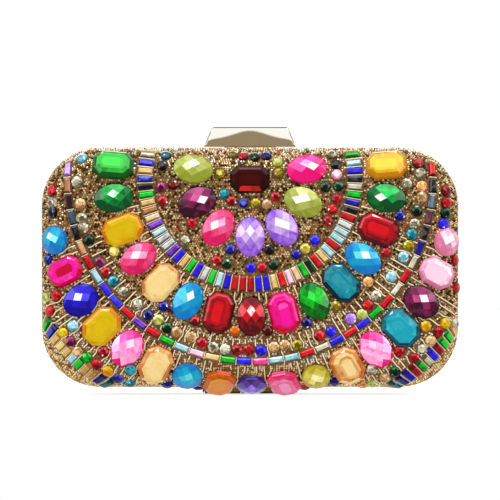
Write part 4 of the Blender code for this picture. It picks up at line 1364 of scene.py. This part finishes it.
studio = {
    "floor": (1.6, 1.1),
    "floorFront": -3 * mm,   # the floor ends here, so that the opened front half hangs before its edge
    "floorGlow": 0.7,
    "lens": 240,
    "sensor": 36,
    "viewWidth": 0.2415,   # how much of the object's plane the frame takes in
    "aim": (0, 0, 0.0697),
    "elevation": 1.0,
    "hump": 0.08,
    "humpRise": 0.235,
    "roomRise": 0.32,
    "flank": 4.0,
    "flankMost": 0.09,
    "edgeBlur": 0.015,
    "roomEnd": (-0.25, 0.05),
    "roomTone": (150, 133, 108),
    "soft": 0.46,
    # place, target, size, power
    "lamps": {
        "topSoftbox": ((-0.05, -0.4, 0.86), (0, 0, 0.06), (1.2, 0.5), 4.8),
        "leftSoftbox": ((-0.8, -0.6, 0.35), (0, 0, 0.06), (0.4, 0.6), 3.1),
        "rightSoftbox": ((0.8, -0.6, 0.35), (0, 0, 0.06), (0.4, 0.6), 2.7),
        "tableBounce": ((0, -0.5, -0.2), (0, 0, 0.03), (0.8, 0.3), 1.7),
        "backSoftbox": ((0.0, 0.8, 0.6), (0, 0, 0.06), (0.8, 0.5), 4.0),
    },
}


# In mirrors the room in front of the bag is warm and dim up to a low edge, with one higher hump
# in the middle where the photographer stands; above and behind it is white
def mirroredRoom(tree):
    place = node(tree, "ShaderNodeTexCoord").outputs["Generated"]
    x, y, z = node(tree, "ShaderNodeSeparateXYZ", {0: place}).outputs
    squareX = maths(tree, "POWER", x, 2.0)
    hump = maths(tree, "EXPONENT", maths(tree, "MULTIPLY", squareX, -1 / studio["hump"] ** 2))
    flank = maths(tree, "MINIMUM", maths(tree, "MULTIPLY", squareX, studio["flank"]), studio["flankMost"])
    lift = maths(tree, "ADD", flank, studio["roomRise"])
    edge = maths(tree, "MULTIPLY_ADD", hump, studio["humpRise"], lift)
    blur = studio["edgeBlur"]
    below = remap(tree, maths(tree, "SUBTRACT", z, edge), -blur, blur, 1.0, 0.0)
    inFront = remap(tree, y, *studio["roomEnd"], 1.0, 0.0)
    patch = maths(tree, "MULTIPLY", below, inFront)
    return blend(tree, patch, (1, 1, 1, 1), linear(*studio["roomTone"]))


def background(tree, colour, strength=1.0):
    return node(tree, "ShaderNodeBackground", {"Color": colour, "Strength": strength}).outputs[0]


world = bpy.data.worlds.new("studio")
scene.world = world
world.use_nodes = True
tree = world.node_tree
tree.nodes.clear()
rays = node(tree, "ShaderNodeLightPath").outputs
soft = background(tree, (1, 0.99, 0.97, 1), studio["soft"])
lit = node(tree, "ShaderNodeMixShader",
           {0: rays["Is Glossy Ray"], 1: soft, 2: background(tree, mirroredRoom(tree))}).outputs[0]
clearRay = maths(tree, "MAXIMUM", rays["Is Camera Ray"], rays["Is Transmission Ray"])
final = node(tree, "ShaderNodeMixShader", {0: clearRay, 1: lit, 2: background(tree, (1, 1, 1, 1))})
node(tree, "ShaderNodeOutputWorld", {0: final.outputs[0]})

shape = bmesh.new()
bmesh.ops.create_grid(shape, x_segments=1, y_segments=1, size=0.5)
fit(shape, (*studio["floor"], 1), (0, studio["floor"][1] / 2 + studio["floorFront"], 0))
floor = bpy.data.objects.new("floor", asMesh(shape, "floor"))
scene.collection.objects.link(floor)
floorPaint, tree, shader = newMaterial("paleFloor", roughness=0.9, Emission_Color=(1, 1, 1, 1))
seen = node(tree, "ShaderNodeLightPath").outputs["Is Camera Ray"]
glow = maths(tree, "MULTIPLY", seen, studio["floorGlow"])
connect(tree, shader, {"Base Color": (0.8, 0.8, 0.8, 1), "Emission Strength": glow})
floor.data.materials.append(floorPaint)


def aimAt(name, data, place, target):
    holder = bpy.data.objects.new(name, data)
    scene.collection.objects.link(holder)
    holder.location = place
    holder.rotation_euler = (Vector(target) - Vector(place)).to_track_quat("-Z", "Y").to_euler()
    return holder


for name, (place, target, size, power) in studio["lamps"].items():
    lamp = bpy.data.lights.new(name, "AREA")
    lamp.shape = "RECTANGLE"
    lamp.size, lamp.size_y = size
    lamp.energy = power
    holder = aimAt(name, lamp, place, target)
    holder.visible_glossy = name != "tableBounce"

camera = bpy.data.cameras.new("camera")
camera.lens = studio["lens"]
camera.sensor_width = studio["sensor"]
camera.clip_end = 20
rise = math.radians(studio["elevation"])
distance = studio["viewWidth"] * studio["lens"] / studio["sensor"]
aim = Vector(studio["aim"])
scene.camera = aimAt("camera", camera, aim + Vector((0, -math.cos(rise), math.sin(rise))) * distance, aim)
print("stage set")
